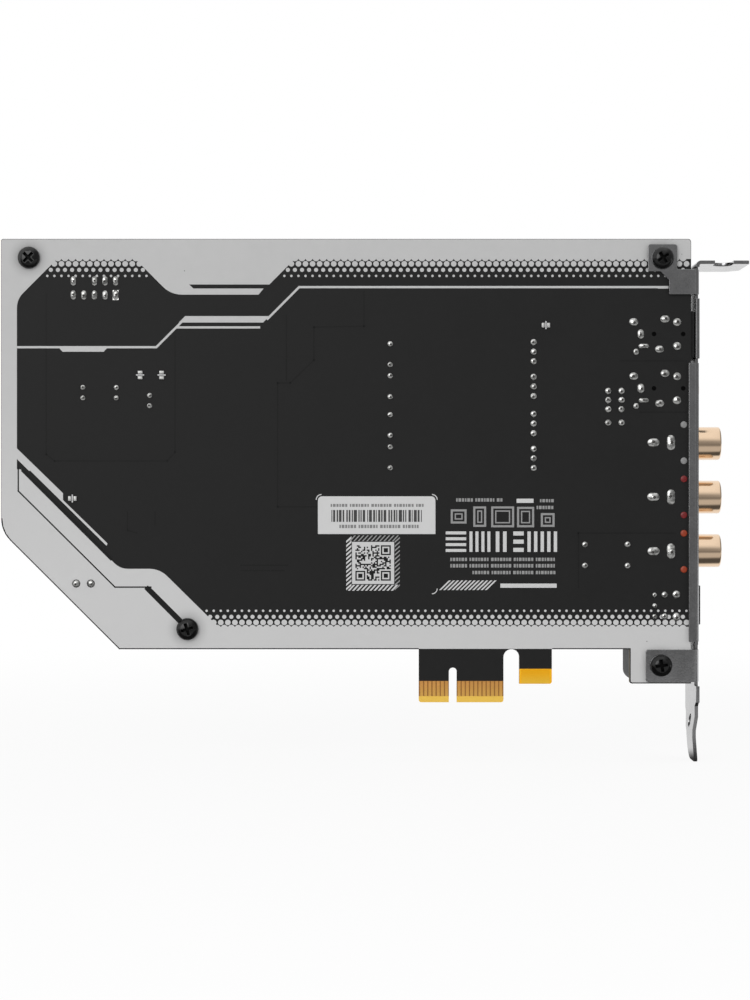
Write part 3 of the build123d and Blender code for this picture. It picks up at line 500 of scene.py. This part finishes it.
# Chip parts on the solder side
# Four thick-film chip parts: a dark ceramic body between two tinned ends, with a pale line across.
CHIP_END = 0.7
tin, tin_shader, tin_grain = make_finish(
    "bright_tin", screen(196, 196, 194), 0.2, 0.45, 0.2, 0.14, 0.3, metallic=1.0,
)
tree = tin.node_tree
# Painted reflection: random dark blotches in the tin's colour stand in for reflections of dark surroundings.
blotches = add_node(tree, "ShaderNodeTexNoise")
blotches.inputs["Scale"].default_value = 1.3 / MM
blotches.inputs["Detail"].default_value = 2.0
tree.links.new(add_node(tree, "ShaderNodeTexCoord").outputs["Object"], blotches.inputs["Vector"])
painted_dark_reflection = calculate(tree, "MULTIPLY", fade(tree, blotches.outputs["Fac"], 0.45, 0.65), 0.6)
tree.links.new(
    blend_colours(tree, painted_dark_reflection, tin_grain.outputs["Colour"], screen(74, 74, 72)), tin_shader.inputs["Base Color"],
)
end_tin = make_finish("chip_end_tin", screen(186, 186, 184), 0.2, 0.3, 0.4, 0.1, 0.1, metallic=0.4)[0]
chip_black = make_finish("moulded_chip", screen(34, 34, 36), 0.2, 0.4, 0.5, 0.1, 0.12)[0]


def solid_boxes(node):
    """The boxes in mm of the separate solids in one CAD node, in a fixed order."""
    bm = bmesh.new()
    bm.from_mesh(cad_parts[node].data)
    bmesh.ops.remove_doubles(bm, verts=bm.verts, dist=0.001 * MM)
    left = set(bm.verts)
    boxes = []
    while left:
        island = [left.pop()]
        for vert in island:
            for edge in vert.link_edges:
                other = edge.other_vert(vert)
                if other in left:
                    left.discard(other)
                    island.append(other)
        low = [round(min(vert.co[axis] for vert in island) / MM, 3) for axis in range(3)]
        high = [round(max(vert.co[axis] for vert in island) / MM, 3) for axis in range(3)]
        boxes.append((low, high))
    bm.free()
    return sorted(boxes)


def round_edges(bm, edges, width, segments):
    bmesh.ops.bevel(
        bm, geom=edges, offset=width, offset_type="OFFSET", affect="EDGES", segments=segments, profile=0.5,
        material=-1, clamp_overlap=True,
    )


bodies_bm = bmesh.new()
ends_bm = bmesh.new()
lines_bm = bmesh.new()
for low, high in solid_boxes("chip_parts"):
    long_axis, short_axis = (2, 0) if high[2] - low[2] > high[0] - low[0] else (0, 2)
    body_low, body_high = list(low), list(high)
    body_low[long_axis] += CHIP_END
    body_high[long_axis] -= CHIP_END
    body_low[short_axis] += 0.04
    body_high[short_axis] -= 0.04
    add_block(bodies_bm, body_low, body_high)
    for start in (low[long_axis], high[long_axis] - CHIP_END):
        end_low, end_high = list(low), list(high)
        end_low[long_axis] = start
        end_high[long_axis] = start + CHIP_END
        add_block(ends_bm, end_low, end_high)
    middle = (low[long_axis] + high[long_axis]) / 2
    line_low, line_high = list(low), list(high)
    line_low[short_axis] -= 0.4
    line_high[short_axis] += 0.4
    line_low[long_axis] = middle - 0.13
    line_high[long_axis] = middle + 0.13
    line_low[1] -= 0.02
    add_block(lines_bm, line_low, line_high)
for chip_bm in (bodies_bm, ends_bm):
    round_edges(chip_bm, chip_bm.edges[:], 0.08, 2)
chip_bodies = finish_piece("chip_part_bodies", bodies_bm, chip_black)
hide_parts("chip_parts")
finish_piece("chip_part_ends", ends_bm, end_tin)
finish_piece("chip_part_lines", lines_bm, pale_ink)

# Parts under the cover
# Film capacitors, electrolytic cans, transistors, a relay, a transformer and chips: moulded or canned parts
# that stand on the component face and are soldered from the other side. The cover hides them.
film_box = make_finish("film_box", screen(150, 38, 32), 0.1, 0.8, 0.35, 0.08, 0.05)[0]
can_sleeve = make_finish("can_sleeve", screen(34, 34, 38), 0.15, 0.9, 0.35, 0.1, 0.05)[0]
relay_box = make_finish("relay_box", screen(205, 203, 196), 0.06, 0.8, 0.4, 0.08, 0.05)[0]
metal_lid = make_finish("metal_lid", screen(196, 196, 192), 0.1, 0.5, 0.3, 0.1, 0.1, metallic=1.0)[0]
for node, finish in (
    ("film_capacitors", film_box), ("small_capacitors", can_sleeve), ("large_capacitor", can_sleeve),
    ("output_transistors", chip_black), ("signal_relay", relay_box), ("output_transformer", chip_black),
    ("audio_processor", chip_black), ("converter_chip", chip_black), ("amplifier_chips", chip_black),
    ("regulators", chip_black), ("crystals", metal_lid),
):
    dress(node, finish)

# Front-panel header
# Square gold pins pressed through a black moulded strip, in two rows with one place left out as the key.
black_moulding = make_finish("black_moulding", screen(22, 22, 23), 0.15, 0.5, 0.42, 0.1, 0.1, shine=0.3)[0]
pin_gold = make_finish("pin_gold", screen(232, 180, 96), 0.1, 0.4, 0.25, 0.08, 0.05, metallic=1.0)[0]


def bevelled_copy(name, node, width, finish, segments=2, least_angle=28):
    """A copy of a CAD node with its facets joined and its sharp edges rounded, which stands for the node."""
    bm = bmesh.new()
    bm.from_mesh(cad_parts[node].data)
    bmesh.ops.scale(bm, vec=(1 / MM, 1 / MM, 1 / MM), verts=bm.verts)
    bmesh.ops.remove_doubles(bm, verts=bm.verts, dist=0.001)
    bmesh.ops.dissolve_limit(bm, angle_limit=math.radians(1), verts=bm.verts[:], edges=bm.edges[:])
    sharp = [
        edge for edge in bm.edges
        if len(edge.link_faces) == 2 and edge.calc_face_angle() > math.radians(least_angle)
    ]
    round_edges(bm, sharp, width, segments)
    piece = finish_piece(name, bm, finish)
    even_shading = piece.modifiers.new("even_shading", "WEIGHTED_NORMAL")
    even_shading.keep_sharp = True
    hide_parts(node)


bevelled_copy("header_strip", "header_base", 0.2, black_moulding)
bevelled_copy("header_pin_set", "header_pins", 0.12, pin_gold)

# Phono jacks
# Moulded bodies in grey, red and orange with two pegs through the board, a turned brass sleeve with gold
# plate in front of the bracket, and a gold contact in the core.
BARREL_RADIUS = 4.0
BARREL_BORE = 3.25
PEG_X = 55.4
PEG_OFFSET = 4.33
PEG_RADIUS = 0.8
CORE_RADIUS = 3.2
CORE_END = 63.95
CONTACT_BORE = 1.7
CONTACT_RADIUS = 2.05
barrel_gold = make_finish("barrel_gold", screen(238, 210, 180), 0.04, 0.8, 0.13, 0.05, metallic=1.0)[0]
moulding_colours = {
    "phono_left": ("grey_moulding", screen(128, 128, 128)),
    "phono_right": ("red_moulding", screen(110, 14, 18)),
    "phono_digital": ("orange_moulding", screen(142, 48, 12)),
}


def spin_profile(bm, profile, centre, closed, steps, axis, out):
    """A profile of (along the axis, radius) pairs spun once round a line through the centre."""
    centre = Vector(centre)
    verts = [bm.verts.new(centre + axis * shift + out * radius) for shift, radius in profile]
    pairs = list(zip(verts, verts[1:])) + ([(verts[-1], verts[0])] if closed else [])
    edges = [bm.edges.new(pair) for pair in pairs]
    bmesh.ops.spin(
        bm, geom=verts + edges, cent=centre, axis=axis, angle=2 * math.pi, steps=steps, use_merge=True,
    )
    bmesh.ops.remove_doubles(bm, verts=bm.verts[:], dist=0.001)
    bmesh.ops.recalc_face_normals(bm, faces=bm.faces[:])


FROM_PLATE = Vector((1, 0, 0))
FROM_BOARD = Vector((0, -1, 0))
for jack, (moulding_name, moulding_colour) in moulding_colours.items():
    moulding = make_finish(moulding_name, moulding_colour, 0.1, 0.7, 0.34, 0.08, 0.05)[0]
    dress(jack + "_housing", moulding)
    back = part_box(jack + "_contact")[0].x / MM
    low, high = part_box(jack + "_sleeve")
    centre = (0, (low.y + high.y) / 2 / MM, (low.z + high.z) / 2 / MM)
    bm = bmesh.new()
    spin_profile(bm, (
        (back, CONTACT_RADIUS), (CORE_END + 0.12, CONTACT_RADIUS), (CORE_END + 0.12, CONTACT_RADIUS - 0.12),
        (CORE_END - 0.2, CONTACT_BORE), (back, CONTACT_BORE),
    ), centre, True, 40, FROM_PLATE, FROM_BOARD)
    contact = finish_piece(jack + "_contact_tube", bm, pin_gold)
    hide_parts(jack + "_contact")
    bm = bmesh.new()
    spin_profile(bm, (
        (CORE_END - 0.05, CORE_RADIUS), (CORE_END + 0.2, CORE_RADIUS), (CORE_END + 0.32, CORE_RADIUS - 0.12),
        (CORE_END + 0.32, CONTACT_RADIUS + 0.2), (CORE_END + 0.2, CONTACT_RADIUS + 0.03),
        (CORE_END - 0.05, CONTACT_RADIUS + 0.03),
    ), centre, True, 48, FROM_PLATE, FROM_BOARD)
    finish_piece(jack + "_core_ring", bm, moulding)
    back, front = low.x / MM, high.x / MM
    bm = bmesh.new()
    spin_profile(bm, (
        (back, BARREL_RADIUS), (front - 0.4, BARREL_RADIUS), (front - 0.2, BARREL_RADIUS - 0.06),
        (front - 0.05, BARREL_RADIUS - 0.2), (front, BARREL_RADIUS - 0.36), (front, BARREL_BORE + 0.16),
        (front - 0.05, BARREL_BORE + 0.05), (front - 0.16, BARREL_BORE), (back, BARREL_BORE),
    ), centre, True, 72, FROM_PLATE, FROM_BOARD)
    barrel = finish_piece(jack + "_barrel", bm, barrel_gold)
    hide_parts(jack + "_sleeve")
    bm = bmesh.new()
    for z in (centre[2] - PEG_OFFSET, centre[2] + PEG_OFFSET):
        spin_profile(bm, (
            (0.0, 0.0), (0.0, PEG_RADIUS), (0.16, PEG_RADIUS), (0.27, PEG_RADIUS - 0.12),
            (0.33, PEG_RADIUS - 0.32), (0.35, 0.0),
        ), (PEG_X, SOLDER_FACE, z), False, 20, FROM_BOARD, FROM_PLATE)
    finish_piece(jack + "_peg_ends", bm, moulding)

# Jacks for 3.5 mm plugs
# Black moulded bodies with two pegs, and a turned ring with gold plate that fills the bracket's hole.
# The pegs end just under the solder face; near-black discs on the solder face paint the shade in their holes as dark
# dots.
JACK_PEG_X = (48.25, 55.25)
# Painted shade: these near-black discs stand in for the shade inside the peg holes.
painted_hole_shade = make_finish("painted_hole_shade", screen(5, 5, 5), 0.2, 0.5, 0.6, 0.1, shine=0.03)[0]
hole_shade_bm = bmesh.new()
for jack in ("headphone_jack", "microphone_jack"):
    dress(jack + "_body", black_moulding)
    low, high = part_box(jack + "_nose")
    back, front = low.x / MM, high.x / MM
    centre = (0, (low.y + high.y) / 2 / MM, (low.z + high.z) / 2 / MM)
    bm = bmesh.new()
    spin_profile(bm, (
        (back, 3.0), (front - 0.3, 3.0), (front - 0.09, 2.91), (front, 2.7), (front, 2.5),
        (front - 0.12, 2.3), (front - 0.35, 2.1), (back, 2.1),
    ), centre, True, 56, FROM_PLATE, FROM_BOARD)
    ring = finish_piece(jack + "_ring", bm, barrel_gold)
    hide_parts(jack + "_nose")
    for x in JACK_PEG_X:
        add_dot(hole_shade_bm, x, centre[2], 0.56, 0.01)
finish_piece("jack_peg_hole_shade", hole_shade_bm, painted_hole_shade)

# Optical port
# A black moulded housing with a square mouth, a sprung shutter behind it and a red emitter at the back.
emitter_red = make_finish("emitter_red", screen(70, 12, 14), 0.1, 0.5, 0.2, 0.05)[0]
PORT_HALF = 4.75
RIM_INNER = 3.3
bevelled_copy("optical_body", "optical_housing", 0.15, black_moulding)
low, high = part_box("optical_housing")
front = high.x / MM
bm = bmesh.new()
spin_profile(bm, (
    (front - 0.05, PORT_HALF - 0.1), (front + 0.12, PORT_HALF - 0.1), (front + 0.2, PORT_HALF - 0.18),
    (front + 0.2, RIM_INNER + 0.2), (front - 0.05, RIM_INNER),
), (0, high.y / MM - PORT_HALF, (low.z + high.z) / 2 / MM), True, 4, FROM_PLATE, Vector((0, -1, 1)))
finish_piece("optical_rim", bm, black_moulding)
dress("optical_shutter", black_moulding)
dress("optical_emitter", emitter_red)

# Solder joints
# Bright tin that wets each pad and climbs the end of its lead, made in one wave bath and trimmed. Each one
# is a dome that leans a little its own way, with the darker cut end of the lead in the middle.
dome = ((0.1, 0.97), (0.13, 0.88), (0.11, 0.78), (0.08, 0.64), (0.03, 0.5), (0.07, 0.9))
LEAD_SHARE = 0.17
lead_end = make_finish("cut_lead_end", screen(70, 68, 66), 0.3, 0.3, 0.35, 0.1, 0.2, metallic=0.5)[0]
bm = bmesh.new()
leads_bm = bmesh.new()
for number, (low, high) in enumerate(solid_boxes("solder_joints")):
    wide, tall = high[0] - low[0], high[2] - low[2]
    across = min(wide, tall)
    middle = Vector(((low[0] + high[0]) / 2, SOLDER_FACE, (low[2] + high[2]) / 2))
    matrix = Matrix.Translation(middle) @ Matrix.Rotation(math.pi / 2, 4, "X")
    disc = bmesh.ops.create_circle(bm, cap_ends=True, segments=20, radius=across / 2, matrix=matrix)["verts"]
    for vert in disc:
        for axis, stretch in ((0, (wide - across) / 2), (2, (tall - across) / 2)):
            side = vert.co[axis] - middle[axis]
            if abs(side) > 0.01:
                vert.co[axis] += math.copysign(stretch, side)
    top = disc[0].link_faces[0]
    lean = Vector((math.sin(number * 2.4), 0, math.cos(number * 1.7))) * (0.016 * across)
    for rise, share in dome:
        top = bmesh.ops.extrude_discrete_faces(bm, faces=[top])["faces"][0]
        shift = Matrix.Translation(-top.calc_center_median())
        bmesh.ops.scale(bm, vec=(share, 1, share), verts=top.verts[:], space=shift)
        bmesh.ops.translate(bm, vec=lean + Vector((0, -rise, 0)), verts=top.verts[:])
    tip = top.calc_center_median()
    matrix = Matrix.Translation(tip) @ Matrix.Rotation(math.pi / 2, 4, "X")
    bmesh.ops.create_uvsphere(leads_bm, u_segments=10, v_segments=6, radius=LEAD_SHARE * across, matrix=matrix)
bmesh.ops.recalc_face_normals(bm, faces=bm.faces[:])
joints = finish_piece("tin_joints", bm, tin, sharp=50)
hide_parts("solder_joints")
finish_piece("lead_ends", leads_bm, lead_end)
bm = bmesh.new()
add_block(bm, (-81.57, SOLDER_FACE - 0.1, 96.47), (-80.12, SOLDER_FACE, 98.87))
round_edges(bm, bm.edges[:], 0.04, 1)
finish_piece("square_pad", bm, tin)

# Front cover
# A black moulded tray over the component side, with a fine grain from its mould, held by the four screws.
# Its face has a raised frame, a sunk field and a row of slanted ribs.
COVER_FACE = 15.2
FRAME_RISE = 0.45
FRAME_WIDTH = 2.4
FIELD_DROP = 0.3
cover_black = make_finish("cover_black", screen(30, 30, 31), 0.2, 0.35, 0.5, 0.1, 0.4, shine=0.13)[0]
bevelled_copy("cover_tray", "front_cover", 0.35, cover_black, segments=3)
bm = bmesh.new()
frame_outline = (
    (-70.0, 106.1), (51.5, 106.1), (51.5, 18.0), (-77.8, 18.0), (-103.2, 43.3), (-103.2, 84.0), (-98.2, 89.0),
    (-75.0, 89.0), (-70.0, 94.0),
)
field = bm.faces.new([bm.verts.new((x, COVER_FACE - 0.05, z)) for x, z in frame_outline])
bmesh.ops.recalc_face_normals(bm, faces=[field])
raised = bmesh.ops.extrude_face_region(bm, geom=[field], use_keep_orig=True)["geom"]
raised_verts = [item for item in raised if isinstance(item, bmesh.types.BMVert)]
top_face = [item for item in raised if isinstance(item, bmesh.types.BMFace)][0]
bmesh.ops.translate(bm, vec=(0, FRAME_RISE + 0.05, 0), verts=raised_verts)
bmesh.ops.recalc_face_normals(bm, faces=bm.faces[:])
bmesh.ops.inset_region(bm, faces=[top_face], thickness=FRAME_WIDTH, use_even_offset=True)
bmesh.ops.inset_region(bm, faces=[top_face], thickness=0.35, depth=-FIELD_DROP, use_even_offset=True)
for number in range(16):
    x = 14.0 + 2.2 * number
    verts = add_block(bm, (x, COVER_FACE, 24.0), (x + 1.1, COVER_FACE + FRAME_RISE, 38.0))
    for vert in verts:
        vert.co.x -= 14.0 - (vert.co.z - 24.0)
plate_dark, plate_shader, plate_grain = make_finish(
    "brushed_plate", screen(74, 74, 77), 0.16, 0.5, 0.36, 0.12, metallic=0.8,
)
tree = plate_dark.node_tree
brush_place = add_node(tree, "ShaderNodeCombineXYZ")
along, depth, height = split_place(tree)
join(tree, calculate(tree, "MULTIPLY", along, 0.02), brush_place.inputs[0])
join(tree, depth, brush_place.inputs[1])
join(tree, height, brush_place.inputs[2])
brush = add_node(tree, "ShaderNodeTexNoise")
brush.inputs["Scale"].default_value = 3.0 / MM
brush.inputs["Detail"].default_value = 3.0
tree.links.new(brush_place.outputs[0], brush.inputs["Vector"])
streaks = calculate(tree, "MULTIPLY", fade(tree, brush.outputs["Fac"], 0.35, 0.7), 0.6)
tree.links.new(
    blend_colours(tree, streaks, plate_grain.outputs["Colour"], screen(108, 108, 112)), plate_shader.inputs["Base Color"],
)
finish_piece("cover_plate", bm, plate_dark)

# Slot bracket
# One sheet of steel, stamped and folded, with a dark nickel plate; fine pits show in it.
bracket_steel, steel_shader, steel_grain = make_finish(
    "bracket_steel", screen(156, 156, 157), 0.22, 0.4, 0.17, 0.12, 0.14, metallic=1.0,
)
tree = bracket_steel.node_tree
pits = add_node(tree, "ShaderNodeTexVoronoi")
pits.inputs["Scale"].default_value = 2.6 / MM
tree.links.new(add_node(tree, "ShaderNodeTexCoord").outputs["Object"], pits.inputs["Vector"])
pitted = calculate(tree, "MULTIPLY", fade(tree, pits.outputs["Distance"], 0.34, 0.1), 0.35)
tree.links.new(
    blend_colours(tree, pitted, steel_grain.outputs["Colour"], screen(70, 70, 72)), steel_shader.inputs["Base Color"],
)
bevelled_copy("bracket_sheet", "slot_bracket", 0.1, bracket_steel)

# Screws
# Black pan-head machine screws with a cross recess: two through the bracket's ears, two through the board.
screw_black = make_finish("screw_black", screen(6, 6, 6), 0.3, 0.4, 0.17, 0.1, 0.12, shine=0.42)[0]
recess_black = make_finish("recess_black", screen(8, 8, 8), 0.3, 0.4, 0.45, 0.1, 0.12, shine=0.08)[0]
head_profile = (
    (-6.0, 0.0), (-6.0, 1.4), (0.02, 1.4), (0.02, 2.53), (0.12, 2.64), (0.7, 2.64), (0.92, 2.57), (1.18, 2.38),
    (1.46, 2.1), (1.7, 1.85), (1.84, 1.68), (1.88, 1.62),
)
RECESS_ARM = 1.5
RECESS_HALF = 0.33
RECESS_DEPTH = 1.0


def add_screw(bm, x, z, seat, turn):
    """A spun head and shank; the ring on top is joined to a cross that goes down into the head."""
    centre = Vector((x, seat, z))
    spin_profile(bm, head_profile, centre, False, 40, FROM_BOARD, FROM_PLATE)
    rim = [edge for edge in bm.edges if edge.is_boundary]
    arm, half = RECESS_ARM, RECESS_HALF
    outline = (
        (arm, -half), (arm, half), (half, half), (half, arm), (-half, arm), (-half, half),
        (-arm, half), (-arm, -half), (-half, -half), (-half, -arm), (half, -arm), (half, -half),
    )
    swing = Matrix.Rotation(math.radians(-turn), 3, "Y")
    top = centre + FROM_BOARD * head_profile[-1][0]
    corners = [bm.verts.new(top + swing @ Vector((u, 0, w))) for u, w in outline]
    cross = [bm.edges.new(pair) for pair in zip(corners, corners[1:] + corners[:1])]
    bmesh.ops.bridge_loops(bm, edges=rim + cross)
    walls = bmesh.ops.extrude_edge_only(bm, edges=cross)["geom"]
    low_verts = [item for item in walls if isinstance(item, bmesh.types.BMVert)]
    bmesh.ops.scale(bm, vec=(0.72, 1, 0.72), verts=low_verts, space=Matrix.Translation(-top))
    bmesh.ops.translate(bm, vec=-FROM_BOARD * RECESS_DEPTH, verts=low_verts)
    bottom = bmesh.ops.holes_fill(bm, edges=[edge for edge in bm.edges if edge.is_boundary], sides=0)["faces"]
    for face in bottom + [item for item in walls if isinstance(item, bmesh.types.BMFace)]:
        face.material_index = 1
    round_edges(bm, cross, 0.05, 1)


for name, node, places, turns, seat in (
    ("cover_screw_set", "cover_screws", screw_places[:2], (45, 18), -0.85),
    ("bracket_screw_set", "bracket_screws", screw_places[2:], (34, 8), -1.71),
):
    bm = bmesh.new()
    for (x, z), turn in zip(places, turns):
        add_screw(bm, x, z, seat, turn)
    bmesh.ops.recalc_face_normals(bm, faces=bm.faces[:])
    screws = finish_piece(name, bm, screw_black, sharp=40)
    screws.data.materials.append(recess_black)
    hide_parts(node)

# Studio
# A pale floor under the card, soft light from the front and a white surround, seen from straight in front.
FLOOR_Z = -14.45
CAMERA_X = -18.66
CAMERA_Z = 48.54
CAMERA_DISTANCE = 530.0
PIXELS_PER_MM = 4.17
IMAGE_HEIGHT = 1000
scene = bpy.context.scene
scene.view_settings.view_transform = "Standard"
bm = bmesh.new()
bmesh.ops.create_grid(bm, x_segments=1, y_segments=1, size=4.0, matrix=Matrix.Translation((0, 0, FLOOR_Z * MM)))
floor_mesh = bpy.data.meshes.new("floor")
bm.to_mesh(floor_mesh)
bm.free()
floor = bpy.data.objects.new("floor", floor_mesh)
scene.collection.objects.link(floor)
floor_finish = bpy.data.materials.new("pale_floor")
floor_finish.use_nodes = True
floor_mesh.materials.append(floor_finish)
tree = floor_finish.node_tree
matte = tree.nodes["Principled BSDF"]
matte.inputs["Base Color"].default_value = (0.94, 0.94, 0.94, 1.0)
matte.inputs["Roughness"].default_value = 0.9
matte.inputs["Specular IOR Level"].default_value = 0.0
glow = add_node(tree, "ShaderNodeEmission")
path = add_node(tree, "ShaderNodeLightPath")
seen = calculate(tree, "MAXIMUM", path.outputs["Is Camera Ray"], path.outputs["Is Glossy Ray"])
seen = calculate(tree, "MAXIMUM", seen, path.outputs["Is Transmission Ray"])
away = add_node(tree, "ShaderNodeVectorMath", operation="LENGTH")
tree.links.new(add_node(tree, "ShaderNodeTexCoord").outputs["Object"], away.inputs[0])
open_floor = calculate(tree, "MULTIPLY", fade(tree, away.outputs["Value"], 0.1, 0.45), 0.1)
white_share = calculate(tree, "ADD", open_floor, 0.9)
# Painted shadow: to glossy rays the floor's glow is darkened in a band under and in front of the card, standing in for
# the card's shadow in reflections.
floor_depth = split_place(tree)[1]
near_card = calculate(tree, "MULTIPLY", fade(tree, floor_depth, 0.03, 0.006), 0.97)
middle_ground = calculate(tree, "MULTIPLY", fade(tree, floor_depth, -0.02, -0.05), 0.54)
far_ground = calculate(tree, "MULTIPLY", fade(tree, floor_depth, -0.12, -0.25), 0.33)
further_out = calculate(tree, "SUBTRACT", middle_ground, far_ground)
painted_reflected_shadow = calculate(tree, "MULTIPLY", calculate(tree, "SUBTRACT", near_card, further_out), path.outputs["Is Glossy Ray"])
tree.links.new(calculate(tree, "SUBTRACT", 1.0, painted_reflected_shadow), glow.inputs["Strength"])
blend = add_node(tree, "ShaderNodeMixShader")
tree.links.new(calculate(tree, "MULTIPLY", seen, white_share), blend.inputs[0])
tree.links.new(matte.outputs[0], blend.inputs[1])
tree.links.new(glow.outputs[0], blend.inputs[2])
tree.links.new(blend.outputs[0], tree.nodes["Material Output"].inputs["Surface"])

world = bpy.data.worlds.new("white_surround")
scene.world = world
world.use_nodes = True
tree = world.node_tree
surround = tree.nodes["Background"]
surround.inputs["Color"].default_value = (1.0, 1.0, 1.0, 1.0)
sideways, forward, upward = split_place(tree, "Generated")
level = fade(tree, upward, 0.75, 0.1)
behind_camera = calculate(tree, "MULTIPLY", fade(tree, forward, -0.4, -1.0), level)
right_hand = fade(tree, sideways, 0.3, 0.75)
dim_sides = calculate(tree, "MAXIMUM", behind_camera, right_hand)
mirrored = calculate(tree, "SUBTRACT", 0.4, calculate(tree, "MULTIPLY", dim_sides, 0.7))
path = add_node(tree, "ShaderNodeLightPath")
plain = calculate(tree, "MAXIMUM", path.outputs["Is Camera Ray"], path.outputs["Is Transmission Ray"])
for_glossy = calculate(tree, "MULTIPLY", path.outputs["Is Glossy Ray"], mirrored)
strength = calculate(tree, "ADD", calculate(tree, "ADD", calculate(tree, "MULTIPLY", plain, 0.4), for_glossy), 0.6)
tree.links.new(strength, surround.inputs["Strength"])

for name, place, size, power in (
    ("key_light", (-0.4, -0.9, 0.36), 0.7, 4.1),
    ("fill_light", (0.7, -0.7, 0.15), 0.6, 1.5),
):
    lamp = bpy.data.lights.new(name, "AREA")
    lamp.energy = power
    lamp.size = size
    lamp_object = bpy.data.objects.new(name, lamp)
    lamp_object.location = place
    lamp_object.visible_glossy = name == "key_light"
    lamp_object.rotation_euler = (Vector((-0.02, 0, 0.05)) - Vector(place)).to_track_quat("-Z", "Y").to_euler()
    scene.collection.objects.link(lamp_object)

lens = bpy.data.cameras.new("front_camera")
lens.sensor_width = 36.0
lens.lens = PIXELS_PER_MM * CAMERA_DISTANCE * lens.sensor_width / IMAGE_HEIGHT
lens.clip_start = 0.01
camera = bpy.data.objects.new("front_camera", lens)
camera.location = (CAMERA_X * MM, (SOLDER_FACE - CAMERA_DISTANCE) * MM, CAMERA_Z * MM)
camera.rotation_euler = (math.pi / 2, 0, 0)
scene.collection.objects.link(camera)
scene.camera = camera
